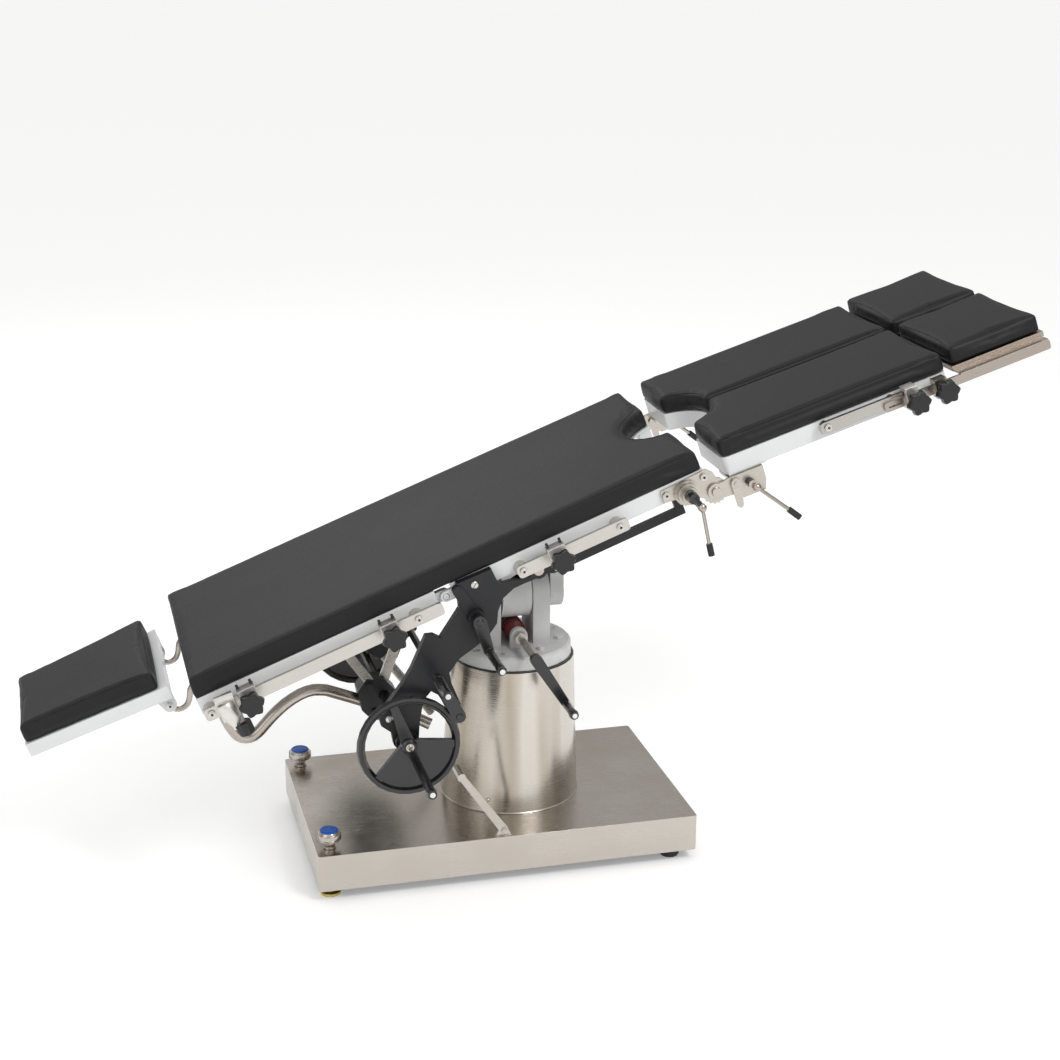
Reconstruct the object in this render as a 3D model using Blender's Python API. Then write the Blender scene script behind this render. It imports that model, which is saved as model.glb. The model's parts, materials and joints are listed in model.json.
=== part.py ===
"""Operating table with a tilting top. Metres, +Z up, head end at -X, operator side at -Y."""
import bpy
import bmesh
from math import sin, cos, asin, acos, atan2, ceil, pi, radians, hypot
from mathutils import Matrix, Vector
from mathutils.geometry import tessellate_polygon

# Fits
GAP = 0.0003          # face gap between touching pieces
RUN = 0.0004          # radial clearance of turning pieces
SLIDE = 0.0005        # clearance of sliding pieces
CLAMP_PLAY = 0.0008   # clearance between a rail clamp and the rail's outer face
CHORD = 0.0006        # how far a flat may lie inside its circle

# Base
BASE_X0, BASE_X1 = -0.4227, 0.3193
BASE_HALF = 0.2266
BASE_TOP = 0.0725
SHEET = 0.002
PLATE_T = 0.008
FOOT_DROP = 0.022
JACK_X, JACK_Y = -0.396, 0.190
SPINDLE_R = 0.007
PEDAL = (-0.067, 0.086)
PEDAL_TIP = (-0.150, 0.205)
LUG_T = 0.008
LUG_Y = BASE_HALF - 0.0061     # outer face of the pedal's lug

# Column
COL_X = 0.002
COL_R0, COL_R1 = 0.137, 0.121
COL_TOP = 0.358
GUIDE_R = 0.0995
CAP_Z0, CAP_Z1 = COL_TOP + 0.0036, 0.388
CAP_R = 0.1175
LATERAL_Z = 0.484     # lateral tilt axis height
BARREL_R = 0.050
WALL_R = 0.045
PIN_R = 0.014
WORM_Z, WORM_R = 0.412, 0.021
TILT_ARM = (0.060, 0.320)

# Table top: everything above turns on one long axle
TILT = radians(21.29)
AXLE_X, AXLE_Z = -0.010, 0.6095
AXLE_R = 0.010
PAD_H0, PAD_H1 = 0.043, 0.083
PAD_HALF = 0.240
FRAME_HALF = 0.2337
FRAME_H0, FRAME_H1 = 0.0103, 0.0427
TUBE = 0.025
CAST_Y0, CAST_Y1 = 0.2340, 0.2500
RAIL_H0, RAIL_H1 = 0.0045, 0.0285
RAIL_Y0, RAIL_Y1 = 0.2540, 0.2620
RAIL_H = 0.0165
SEAT_T0, SEAT_T1 = -0.155, 0.352
NOTCH_T, NOTCH_R = 0.372, 0.084

# Back section and its drive
HINGE_T, HINGE_H = -0.172, 0.022
FOLD = 0.77           # half width of the fold per metre above the hinge
BACK_T0, BACK_T1 = -0.652, -0.189
WHEEL = (-0.343, -0.195)
WHEEL_R = 0.0965
WHEEL_Y = 0.2755
SHAFT_R = 0.009
CRANK_A, ARM_A = (-0.138, -0.029), (-0.143, -0.089)
CRANK_B, ARM_B = (-0.240, -0.169), (-0.248, -0.086)
CRANK_R = 0.0075
SCREW_Y, SCREW_R = 0.180, 0.008
SCREW_DIR = (-0.2590, 0.9659)
NUT = (-0.3149, -0.1890)
SCREW_UP, SCREW_DOWN = 0.1937, 0.190

# Head section
HEAD_T, HEAD_H = -0.706, 0.014
ROD_Y, ROD_R = 0.120, 0.0055

# Legs
LEG_T, LEG_H = 0.359, -0.006
LEG_DROP = radians(3.21)
SWING_U, SWING_Y = 0.062, 0.214
LEG_U0, LEG_U1 = 0.026, 0.491
LEG_V0, LEG_V1, LEG_V2 = 0.019, 0.0537, 0.091
LEG_IN, LEG_OUT = 0.0025, 0.243
CUT_U, CUT_R = -0.012, 0.102
LEG_RAIL_V0, LEG_RAIL_V1 = 0.033, 0.055
FOOT_U0, FOOT_U1 = 0.499, 0.690
SECTOR_R = 0.0255

TABLE = Matrix.Translation((AXLE_X, 0, AXLE_Z)) @ Matrix.Rotation(-TILT, 4, 'Y')
LEG = TABLE @ Matrix.Translation((LEG_T, 0, LEG_H)) @ Matrix.Rotation(LEG_DROP, 4, 'Y')
WORLD = Matrix.Identity(4)

for old in list(bpy.data.objects):
    bpy.data.objects.remove(old, do_unlink=True)


# Solids are (vertices, faces) in the frame of their section
def box(x0, x1, y0, y1, z0, z1):
    v = [(x, y, z) for x in (x0, x1) for y in (y0, y1) for z in (z0, z1)]
    f = [(0, 1, 3, 2), (4, 6, 7, 5), (0, 4, 5, 1), (2, 3, 7, 6), (0, 2, 6, 4), (1, 5, 7, 3)]
    return v, f


def prism(axis, loop, a0, a1, holes=()):
    """Extrude a flat outline, with holes, along one axis."""
    place = {'X': lambda p, a: (a, p[0], p[1]),
             'Y': lambda p, a: (p[0], a, p[1]),
             'Z': lambda p, a: (p[0], p[1], a)}[axis]
    loops = [list(loop)] + [list(h) for h in holes]
    verts, faces, flat, start = [], [], [], 0
    for lp in loops:
        n = len(lp)
        verts += [place(p, a0) for p in lp] + [place(p, a1) for p in lp]
        for i in range(n):
            j = (i + 1) % n
            faces.append((start + i, start + j, start + n + j, start + n + i))
        flat += [(start + i, start + n + i) for i in range(n)]
        start += 2 * n
    if len(loops) == 1:
        n = len(loops[0])
        faces.append(tuple(range(n)))
        faces.append(tuple(range(2 * n - 1, n - 1, -1)))
    else:
        for tri in tessellate_polygon([[Vector((p[0], p[1], 0)) for p in lp] for lp in loops]):
            faces.append(tuple(flat[k][0] for k in tri))
            faces.append(tuple(flat[k][1] for k in reversed(tri)))
    return verts, faces


def arc(cx, cz, r, a0, a1, n):
    return [(cx + r * cos(radians(a0 + (a1 - a0) * i / n)),
             cz + r * sin(radians(a0 + (a1 - a0) * i / n))) for i in range(n + 1)]


def count(r):
    """Number of flats on a round of this radius."""
    return min(32, max(8, ceil(pi / acos(1 - CHORD / max(r, 0.0035)))))


def ring(cx, cz, r, n=None):
    n = n or count(r)
    return [(cx + r * cos(2 * pi * i / n), cz + r * sin(2 * pi * i / n)) for i in range(n)]


def rounded(x0, x1, z0, z1, r, n=3):
    out = []
    for cx, cz, a in ((x1 - r, z0 + r, -90), (x1 - r, z1 - r, 0),
                      (x0 + r, z1 - r, 90), (x0 + r, z0 + r, 180)):
        out += arc(cx, cz, r, a, a + 90, n)
    return out


def belt(p, r0, q, r1, n=5):
    """Outline of a belt round two circles."""
    way = atan2(q[1] - p[1], q[0] - p[0])
    half = pi / 2 + asin((r1 - r0) / hypot(q[0] - p[0], q[1] - p[1]))
    out = []
    for i in range(n + 1):
        a = way - half + 2 * half * i / n
        out.append((q[0] + r1 * cos(a), q[1] + r1 * sin(a)))
    for i in range(n + 1):
        a = way + half + (2 * pi - 2 * half) * i / n
        out.append((p[0] + r0 * cos(a), p[1] + r0 * sin(a)))
    return out


def axes(direction):
    w = Vector(direction).normalized()
    a = Vector((0, 0, 1)) if abs(w.z) < 0.9 else Vector((1, 0, 0))
    u = a.cross(w).normalized()
    return w, u, w.cross(u)


def lathe(origin, direction, profile, n=None, closed=False):
    """Turn (distance along axis, radius) pairs round an axis."""
    n = n or count(max(r for _, r in profile))
    o = Vector(origin)
    w, u, v = axes(direction)
    verts, faces, rows = [], [], []
    for s, r in profile:
        if r < 1e-7:
            rows.append([len(verts)] * n)
            verts.append(tuple(o + w * s))
        else:
            rows.append(list(range(len(verts), len(verts) + n)))
            verts += [tuple(o + w * s + (u * cos(2 * pi * i / n) + v * sin(2 * pi * i / n)) * r)
                      for i in range(n)]
    pairs = list(zip(rows, rows[1:]))
    if closed:
        pairs.append((rows[-1], rows[0]))
    for a, b in pairs:
        for i in range(n):
            j = (i + 1) % n
            face = []
            for k in (a[i], a[j], b[j], b[i]):
                if k not in face:
                    face.append(k)
            if len(face) > 2:
                faces.append(tuple(face))
    if not closed:
        for row in (rows[0], rows[-1]):
            if row[0] != row[1]:
                faces.append(tuple(row))
    return verts, faces


def rod(p, q, r):
    length = (Vector(q) - Vector(p)).length
    return lathe(p, Vector(q) - Vector(p), [(0, r), (length, r)])


def bore(p, q, r):
    """Cutter for a round hole, its flats lying on the given radius."""
    return rod(p, q, r / cos(pi / count(r)))


def eye_ring(cx, cz, r):
    return ring(cx, cz, r / cos(pi / count(r)), count(r))


def turned(x, z, y, profile):
    """Round piece on a cross axis, the profile running outwards to -Y."""
    return lathe((x, y, z), (0, -1, 0), profile)


def tube_path(points, r):
    """Round bar along a bent path."""
    n = count(r)
    pts = [Vector(p) for p in points]
    u = axes(pts[1] - pts[0])[1]
    verts, faces, rows = [], [], []
    for i, p in enumerate(pts):
        if i == 0:
            w = (pts[1] - p).normalized()
        elif i == len(pts) - 1:
            w = (p - pts[i - 1]).normalized()
        else:
            w = ((p - pts[i - 1]).normalized() + (pts[i + 1] - p).normalized()).normalized()
        u = (u - w * u.dot(w)).normalized()
        v = w.cross(u)
        rows.append(list(range(len(verts), len(verts) + n)))
        verts += [tuple(p + (u * cos(2 * pi * k / n) + v * sin(2 * pi * k / n)) * r) for k in range(n)]
    for a, b in zip(rows, rows[1:]):
        for i in range(n):
            j = (i + 1) % n
            faces += [(a[i], a[j], b[j]), (a[i], b[j], b[i])]
    faces += [tuple(rows[0]), tuple(rows[-1])]
    return verts, faces


def smooth_path(points, steps=4):
    """Even curve through the given points."""
    pts = [Vector(p) for p in points]
    ends = [pts[0] * 2 - pts[1]] + pts + [pts[-1] * 2 - pts[-2]]
    out = []
    for i in range(1, len(ends) - 2):
        a, b, c, d = ends[i - 1:i + 3]
        for k in range(steps):
            t = k / steps
            out.append(0.5 * ((2 * b) + (c - a) * t + (2 * a - 5 * b + 4 * c - d) * t * t
                              + (3 * b - a - 3 * c + d) * t ** 3))
    return [tuple(p) for p in out] + [tuple(pts[-1])]


def mirror(solid):
    return [(x, -y, z) for x, y, z in solid[0]], [tuple(reversed(f)) for f in solid[1]]


def mesh_of(name, solids, frame, origin):
    bm = bmesh.new()
    for verts, faces in solids:
        made = [bm.verts.new(frame @ Vector(v) - origin) for v in verts]
        for f in faces:
            bm.faces.new([made[k] for k in f])
    bmesh.ops.recalc_face_normals(bm, faces=bm.faces[:])
    mesh = bpy.data.meshes.new(name)
    bm.to_mesh(mesh)
    bm.free()
    return mesh


def joined(operation, first, others):
    """Exact boolean of whole solids, returned as a solid."""
    temp = []
    for k, solid in enumerate([first] + list(others)):
        ob = bpy.data.objects.new('step%d' % k, mesh_of('step%d' % k, [solid], WORLD, Vector()))
        bpy.context.scene.collection.objects.link(ob)
        temp.append(ob)
    for tool in temp[1:]:
        tool.hide_render = True
        tool.display_type = 'WIRE'
        mod = temp[0].modifiers.new('cut', 'BOOLEAN')
        mod.operation = operation
        mod.solver = 'EXACT'
        mod.object = tool
    seen = temp[0].evaluated_get(bpy.context.evaluated_depsgraph_get())
    mesh = bpy.data.meshes.new_from_object(seen)
    bm = bmesh.new()
    bm.from_mesh(mesh)
    bmesh.ops.remove_doubles(bm, verts=bm.verts[:], dist=2e-6)
    bmesh.ops.dissolve_limit(bm, angle_limit=0.002, verts=bm.verts[:], edges=bm.edges[:])
    verts = [tuple(v.co) for v in bm.verts]
    bm.verts.index_update()
    faces = [tuple(v.index for v in f.verts) for f in bm.faces]
    bm.free()
    bpy.data.meshes.remove(mesh)
    for ob in temp:
        used = ob.data
        bpy.data.objects.remove(ob, do_unlink=True)
        bpy.data.meshes.remove(used)
    return verts, faces


def fuse(first, *others):
    return joined('UNION', first, others)


def cut(first, *others):
    return joined('DIFFERENCE', first, others)


STEEL = ((0.62, 0.60, 0.57), 0.34, 0.95)
CHROME = ((0.66, 0.64, 0.61), 0.16, 1.0)
ZINC = ((0.70, 0.61, 0.36), 0.35, 0.9)
WHITE = ((0.83, 0.84, 0.85), 0.38, 0.0)
GREY = ((0.66, 0.67, 0.68), 0.45, 0.0)
CAST = ((0.05, 0.053, 0.06), 0.50, 0.1)
BLACK = ((0.018, 0.018, 0.02), 0.38, 0.0)
PAD = ((0.03, 0.031, 0.035), 0.55, 0.0)


def node(name, finish, frame, pivot, *solids):
    """One named piece, its origin on the joint it turns or slides on."""
    origin = frame @ Vector(pivot) if pivot else Vector()
    mesh = mesh_of(name, solids, frame, origin)
    mat = bpy.data.materials.new(name + '_finish')
    mat.use_nodes = True
    shader = mat.node_tree.nodes['Principled BSDF']
    shader.inputs['Base Color'].default_value = (*finish[0], 1.0)
    shader.inputs['Roughness'].default_value = finish[1]
    shader.inputs['Metallic'].default_value = finish[2]
    mesh.materials.append(mat)
    bm = bmesh.new()
    bm.from_mesh(mesh)
    for f in bm.faces:
        f.smooth = True
    for e in bm.edges:
        e.smooth = len(e.link_faces) == 2 and e.calc_face_angle(0) < radians(32)
    bm.to_mesh(mesh)
    bm.free()
    ob = bpy.data.objects.new(name, mesh)
    ob.location = origin
    bpy.context.scene.collection.objects.link(ob)
    return ob


# Base box, chassis and jacking feet
cover = prism('Z', rounded(BASE_X0, BASE_X1, -BASE_HALF, BASE_HALF, 0.004, 2), 0, BASE_TOP)
cover = cut(cover,
            box(BASE_X0 + SHEET, BASE_X1 - SHEET, -BASE_HALF + SHEET, BASE_HALF - SHEET,
                -0.01, BASE_TOP - SHEET),
            rod((COL_X, 0, 0.05), (COL_X, 0, 0.09), 0.106),
            bore((JACK_X, JACK_Y, 0.05), (JACK_X, JACK_Y, 0.09), SPINDLE_R + 0.001),
            bore((JACK_X, -JACK_Y, 0.05), (JACK_X, -JACK_Y, 0.09), SPINDLE_R + 0.001))
lug = prism('Y', [(PEDAL[0] - 0.016, BASE_TOP - 0.001), (PEDAL[0] + 0.016, BASE_TOP - 0.001)]
            + arc(PEDAL[0], PEDAL[1], 0.009, 0, 180, 8), -LUG_Y, -LUG_Y + LUG_T,
            [eye_ring(PEDAL[0], PEDAL[1], 0.004 + RUN)])
node('base_cover', STEEL, WORLD, None, fuse(cover, lug))

INSET = SHEET + GAP
plate = prism('Z', rounded(BASE_X0 + INSET, BASE_X1 - INSET, -BASE_HALF + INSET, BASE_HALF - INSET, 0.003, 2),
              0, PLATE_T, [eye_ring(JACK_X, JACK_Y, SPINDLE_R + RUN), eye_ring(JACK_X, -JACK_Y, SPINDLE_R + RUN)])
pads = [lathe((0.276, s * JACK_Y, 0.002), (0, 0, -1),
              [(0, 0.020), (FOOT_DROP - 0.001, 0.019), (FOOT_DROP + 0.002, 0.0175)]) for s in (-1, 1)]
node('chassis_plate', ((0.16, 0.16, 0.17), 0.5, 0.3), WORLD, None, fuse(plate, *pads))

for side, s in (('near', -1), ('far', 1)):
    knob = lathe((JACK_X, s * JACK_Y, 0), (0, 0, 1),
                 [(-0.015, 0.0), (-0.015, SPINDLE_R), (BASE_TOP + 0.0005, SPINDLE_R), (BASE_TOP + 0.0005, 0.0125),
                  (BASE_TOP + 0.004, 0.0125), (BASE_TOP + 0.004, 0.009), (BASE_TOP + 0.010, 0.0115),
                  (BASE_TOP + 0.013, 0.009), (BASE_TOP + 0.017, 0.0215), (BASE_TOP + 0.031, 0.0215),
                  (BASE_TOP + 0.035, 0.0185), (BASE_TOP + 0.035, 0.0)])
    node('jack_screw_' + side, CHROME, WORLD, (JACK_X, s * JACK_Y, 0), knob)
    foot = lathe((JACK_X, s * JACK_Y, 0), (0, 0, 1),
                 [(-FOOT_DROP, 0.0), (-FOOT_DROP, 0.0195), (-FOOT_DROP + 0.006, 0.0205), (-FOOT_DROP + 0.008, 0.012),
                  (-0.0080, 0.0110), (-0.0080, SPINDLE_R + 0.0008), (-0.0195, SPINDLE_R + 0.0008), (-0.0195, 0.0)])
    node('jack_foot_' + side, ZINC, WORLD, (JACK_X, s * JACK_Y, 0), foot)

# Column: outer cover, inner guide tube with its dark collar
def offset_rings(rows, n):
    verts, faces = [], []
    for cx, z, r in rows:
        verts += [(cx + r * cos(2 * pi * i / n), r * sin(2 * pi * i / n), z) for i in range(n)]
    for k in range(len(rows)):
        m = (k + 1) % len(rows)
        for i in range(n):
            j = (i + 1) % n
            faces.append((k * n + i, k * n + j, m * n + j, m * n + i))
    return verts, faces


SKIN = 0.0015
Z0 = BASE_TOP + GAP
node('column_cover', STEEL, WORLD, None, offset_rings([
    (-0.003, Z0, COL_R0 + 0.002), (-0.003, Z0 + 0.002, COL_R0), (COL_X + 0.002, COL_TOP, COL_R1),
    (COL_X + 0.002, COL_TOP, COL_R1 - SKIN), (-0.003, Z0, COL_R0 - SKIN)], 32))
node('column_guide', BLACK, WORLD, None, lathe((COL_X, 0, 0), (0, 0, 1), [
    (PLATE_T + GAP, GUIDE_R), (PLATE_T + GAP, 0.112), (0.015, 0.112), (0.015, 0.104),
    (COL_TOP + GAP, 0.104), (COL_TOP + GAP, 0.1205), (COL_TOP + 0.0033, 0.1205), (COL_TOP + 0.0033, GUIDE_R)],
    closed=True))

# Foot lever of the pump
pedal = prism('Y', belt(PEDAL, 0.0085, PEDAL_TIP, 0.0065), -LUG_Y - 0.0050, -LUG_Y - SLIDE)
tread = rod((PEDAL_TIP[0], -LUG_Y - 0.0095, PEDAL_TIP[1]), (PEDAL_TIP[0], -LUG_Y + 0.0355, PEDAL_TIP[1]),
            0.0085)
pivot = turned(PEDAL[0], PEDAL[1], -LUG_Y + LUG_T + 0.0035, [(0, 0.004), (0.020, 0.004)])
head = turned(PEDAL[0], PEDAL[1], -LUG_Y - 0.0040, [(0, 0.007), (0.0035, 0.006)])
node('pump_pedal', STEEL, WORLD, (PEDAL[0], -LUG_Y, PEDAL[1]), fuse(pedal, tread, pivot, head))

# Lifting head with the lateral tilt fork
disc = lathe((COL_X, 0, 0), (0, 0, 1), [(CAP_Z0, 0.0), (CAP_Z0, CAP_R), (CAP_Z1 - 0.004, CAP_R - 0.001),
                                        (CAP_Z1, CAP_R - 0.005), (CAP_Z1, 0.0)])
RAM_R = GUIDE_R - SLIDE
ram = lathe((COL_X, 0, 0), (0, 0, 1), [(0.025, RAM_R), (CAP_Z0 + 0.002, RAM_R), (CAP_Z0 + 0.002, 0.088),
                                       (0.025, 0.088)], closed=True)
WALL = [(-WALL_R, CAP_Z1 - 0.002), (WALL_R, CAP_Z1 - 0.002)] + arc(0, LATERAL_Z, WALL_R, 0, 180, 12)
walls = [prism('X', WALL, COL_X + s * 0.032, COL_X + s * 0.066, [eye_ring(0, LATERAL_Z, PIN_R + RUN)])
         for s in (-1, 1)]
STAND = ([(COL_X - 0.017, CAP_Z1 - 0.002), (COL_X + 0.017, CAP_Z1 - 0.002)]
         + arc(COL_X, WORM_Z, 0.017, 0, 180, 10))
stands = [prism('Y', STAND, s * 0.0505, s * 0.0625, [eye_ring(COL_X, WORM_Z, 0.007 + RUN)]) for s in (-1, 1)]
bolts = [prism('Z', ring(x, y, 0.009, 6), CAP_Z1 - 0.002, CAP_Z1 + 0.007)
         for x, y in ((0.0415, -0.078), (0.090, -0.030), (0.090, 0.030), (-0.086, 0.030))]
holes = [rod((x, y, CAP_Z1 - 0.007), (x, y, CAP_Z1 + 0.01), 0.0085)
         for x, y in ((-0.0816, -0.0526), (-0.040, -0.082))]
node('column_head', GREY, WORLD, (COL_X, 0, CAP_Z0), cut(fuse(disc, ram, *walls, *stands, *bolts), *holes))

# Worm, shaft and crank of the lateral tilt
thread = []
for k in range(5):
    y = 0.034 - 0.014 * k
    thread += [(0.055 - y, WORM_R - 0.005), (0.055 - y + 0.0035, WORM_R),
               (0.055 - y + 0.0070, WORM_R), (0.055 - y + 0.0105, WORM_R - 0.005)]
worm = turned(COL_X, WORM_Z, 0.055, [(-0.012, 0.007), (0.019, 0.007)] + thread
              + [(0.092, 0.007), (0.1215, 0.007), (0.1215, 0.012), (0.134, 0.012), (0.134, 0.007),
                 (0.242, 0.007)])
arm = prism('Y', belt((COL_X, WORM_Z), 0.0115, TILT_ARM, 0.0085), -0.193, -0.182)
grip = turned(TILT_ARM[0], TILT_ARM[1], -0.190, [(0, 0.006), (0.006, 0.0085), (0.045, 0.0080), (0.060, 0.0095),
                                                (0.066, 0.0080)])
node('tilt_crank', BLACK, WORLD, (COL_X, 0, WORM_Z), fuse(worm, arm, grip))

# Saddle: rocks on the fork and carries the long axle
X0, X1 = COL_X - 0.0965, COL_X + 0.0965
parts = [rod((COL_X - 0.029, 0, LATERAL_Z), (COL_X + 0.029, 0, LATERAL_Z), BARREL_R),
         rod((X0, 0, LATERAL_Z), (X1, 0, LATERAL_Z), PIN_R),
         box(COL_X - 0.029, COL_X + 0.029, -0.038, 0.038, LATERAL_Z + 0.010, 0.545),
         box(X0, X1, -0.060, 0.060, 0.537, 0.560)]
for s in (-1, 1):
    a, b = COL_X + s * 0.0695, COL_X + s * 0.0965
    parts.append(rod((a, 0, LATERAL_Z), (b, 0, LATERAL_Z), 0.034))
    parts.append(box(min(a, b), max(a, b), -0.031, 0.031, LATERAL_Z + 0.006, 0.545))
    parts.append(prism('Y', [(AXLE_X - 0.036, 0.553), (AXLE_X + 0.036, 0.553)]
                       + arc(AXLE_X, AXLE_Z, 0.026, 0, 180, 12), s * 0.050, s * 0.078))
parts.append(lathe((AXLE_X, 0, AXLE_Z), (0, 1, 0), [
    (-0.2500, AXLE_R), (-0.190, AXLE_R), (-0.190, 0.014), (0.190, 0.014), (0.190, AXLE_R), (0.2500, AXLE_R)]))
node('saddle', GREY, WORLD, (COL_X, 0, LATERAL_Z), fuse(*parts))


# Seat frame, white welded tube with a sheet on top and side rails on spacer discs
def rail(t0, t1, h0, h1, discs, level, face, disc_r=0.0125, heads=2):
    bar_ = prism('Y', rounded(t0, t1, h0, h1, 0.006, 2), -RAIL_Y1, -RAIL_Y0)
    extra = []
    for t in discs:
        extra.append(turned(t, level, -face + 0.001, [(0, disc_r), (RAIL_Y0 + 0.002 - face, disc_r)]))
    for t in discs[:heads]:
        extra.append(turned(t, level, -RAIL_Y1 + 0.001, [(0, 0.0065), (0.0035, 0.0060)]))
    return fuse(bar_, *extra)


def fixed_box(x0, x1, y0, y1, z0, z1):
    return box(min(x0, x1), max(x0, x1), min(y0, y1), max(y0, y1), z0, z1)


def ear(t_end, y0, y1):
    """Hinge eye reaching from a frame end to the hinge axis."""
    return prism('Y', [(t_end, HINGE_H - 0.010), (t_end, HINGE_H + 0.010)]
                 + (arc(HINGE_T, HINGE_H, 0.010, 90, 270, 8) if t_end > HINGE_T
                    else arc(HINGE_T, HINGE_H, 0.010, 90, -90, 8)), y0, y1)


INNER = FRAME_HALF - TUBE
notch = arc(NOTCH_T, 0, NOTCH_R, 256, 104, 14)
panel = prism('Z', [(SEAT_T0, -FRAME_HALF), (SEAT_T0, FRAME_HALF), (SEAT_T1, FRAME_HALF)]
              + list(reversed(notch)) + [(SEAT_T1, -FRAME_HALF)], FRAME_H1 - 0.0025, FRAME_H1)
bits = [panel]
for s in (-1, 1):
    bits.append(fixed_box(SEAT_T0, SEAT_T1, s * FRAME_HALF, s * INNER, FRAME_H0, FRAME_H1 - 0.001))
    bits.append(fixed_box(0.328, 0.3515, s * 0.088, s * (INNER + 0.002), 0.0153, FRAME_H1 - 0.0012))
    bits.append(ear(SEAT_T0 + 0.004, s * 0.2225, s * (FRAME_HALF - 0.0002)))
bits.append(box(SEAT_T0 + 0.0005, SEAT_T0 + TUBE, -INNER - 0.002, INNER + 0.002, 0.0153, FRAME_H1 - 0.0012))
bits.append(box(0.255, 0.280, -INNER - 0.002, INNER + 0.002, 0.0153, FRAME_H1 - 0.0012))
side_rail = rail(-0.0385, 0.184, RAIL_H0, RAIL_H1, (-0.0275, 0.166), RAIL_H, FRAME_HALF)
bits += [side_rail, mirror(side_rail)]
frame = cut(fuse(*bits), bore((HINGE_T, -0.3, HINGE_H), (HINGE_T, 0.3, HINGE_H), 0.006 + RUN),
            bore((0, -FRAME_HALF - 0.0001, 0), (0, FRAME_HALF + 0.0001, 0), 0.0155 + GAP))
node('seat_frame', WHITE, TABLE, (0, 0, 0), frame)

# Cast side brackets that carry the drives
OUTLINE = [(-0.147, 0.043), (-0.160, -0.003), (-0.185, -0.021), (-0.212, -0.040), (-0.221, -0.029),
           (-0.235, -0.024), (-0.254, -0.043), (-0.282, -0.071), (-0.306, -0.090), (-0.335, -0.108),
           (-0.358, -0.122), (-0.372, -0.135), (-0.374, -0.150), (-0.362, -0.170), (-0.367, -0.195)]
OUTLINE += arc(WHEEL[0], WHEEL[1], 0.024, 180, 330, 5)
OUTLINE += [(-0.308, -0.176), (-0.285, -0.138), (-0.266, -0.128)]
LUG_B = [(-0.257, -0.140), (-0.254, -0.160)] + arc(CRANK_B[0], CRANK_B[1], 0.0145, 170, 360, 5) + [(-0.226, -0.130)]
RIGHT = [(-0.222, -0.110), (-0.196, -0.093), (-0.157, -0.084), (-0.125, -0.072), (-0.107, -0.060),
         (-0.096, -0.038), (-0.079, -0.020), (-0.054, -0.011), (-0.030, -0.011)]
RIGHT += arc(0, 0, 0.016, 230, 430, 7)
RIGHT += [(-0.018, -0.003), (-0.045, 0.002), (-0.070, 0.006), (-0.077, 0.012), (-0.079, 0.042)]
BAR = [(-0.014, -0.006), (0.015, -0.008), (0.045, -0.019), (0.284, -0.019), (0.284, 0.0100), (0.300, 0.0100),
       (0.300, -0.035), (0.030, -0.035), (-0.010, -0.017)]


def casting(with_cranks):
    shape = OUTLINE + (LUG_B if with_cranks else []) + RIGHT
    body = prism('Y', shape, -CAST_Y1, -CAST_Y0)
    more = [rod((0, -CAST_Y0 - 0.008, 0), (0, -0.197, 0), 0.0155),
            turned(WHEEL[0], WHEEL[1], -0.222, [(0, 0.022), (0.040, 0.021)]),
            prism('Y', BAR, -0.2085, -0.198)]
    bores = [bore((0, -0.3, 0), (0, -0.19, 0), AXLE_R + RUN),
             bore((WHEEL[0], -0.3, WHEEL[1]), (WHEEL[0], -0.2, WHEEL[1]), SHAFT_R + RUN)]
    if with_cranks:
        more.append(turned(CRANK_A[0], CRANK_A[1], -0.224, [(0, 0.017), (0.030, 0.017), (0.038, 0.0155)]))
        more.append(turned(CRANK_B[0], CRANK_B[1], -0.224, [(0, 0.0145), (0.038, 0.0140)]))
        more.append(prism('Y', belt((-0.150, 0.030), 0.010, CRANK_A, 0.012), -0.2535, -0.240))
        bores += [bore((p[0], -0.3, p[1]), (p[0], -0.2, p[1]), CRANK_R + RUN) for p in (CRANK_A, CRANK_B)]
    return cut(fuse(body, *more), *bores)


node('casting_near', CAST, TABLE, (0, 0, 0), casting(True))
node('casting_far', CAST, TABLE, (0, 0, 0), mirror(casting(False)))


# Leg hinge plates with their ratchet sectors
def sector_outline():
    out = []
    for k in range(36):
        a = 10.0 * k
        toothed = 190 <= a <= 350
        out.append((LEG_T + (SECTOR_R if (k % 2 or not toothed) else SECTOR_R - 0.003) * cos(radians(a)),
                    LEG_H + (SECTOR_R if (k % 2 or not toothed) else SECTOR_R - 0.003) * sin(radians(a))))
    return out


def hinge_plate():
    outline = [(0.262, 0.037), (0.262, 0.013), (0.300, 0.009), (0.335, -0.010), (0.372, 0.010), (0.366, 0.030),
               (0.356, 0.041)]
    flat = prism('Y', outline, -0.2396, -CAST_Y0)
    sector = prism('Y', sector_outline(), -0.2394, -CAST_Y0)
    boss = turned(0.307, 0.016, -0.238, [(0, 0.024), (0.009, 0.024), (0.009, 0.0205), (0.019, 0.0205),
                                         (0.019, 0.0160), (0.030, 0.0160), (0.030, 0.0090), (0.035, 0.0090)])
    heads = [turned(t, h, -0.239, [(0, 0.0065), (0.0035, 0.0060)]) for t, h in ((0.270, 0.026), (0.347, 0.029))]
    return cut(fuse(flat, sector, boss, *heads),
               bore((LEG_T, -0.26, LEG_H), (LEG_T, -0.22, LEG_H), 0.0075 + RUN))


plates = hinge_plate()
node('hinge_plate_near', STEEL, TABLE, (LEG_T, -CAST_Y0, LEG_H), plates)
node('hinge_plate_far', STEEL, TABLE, (LEG_T, CAST_Y0, LEG_H), mirror(plates))

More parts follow.
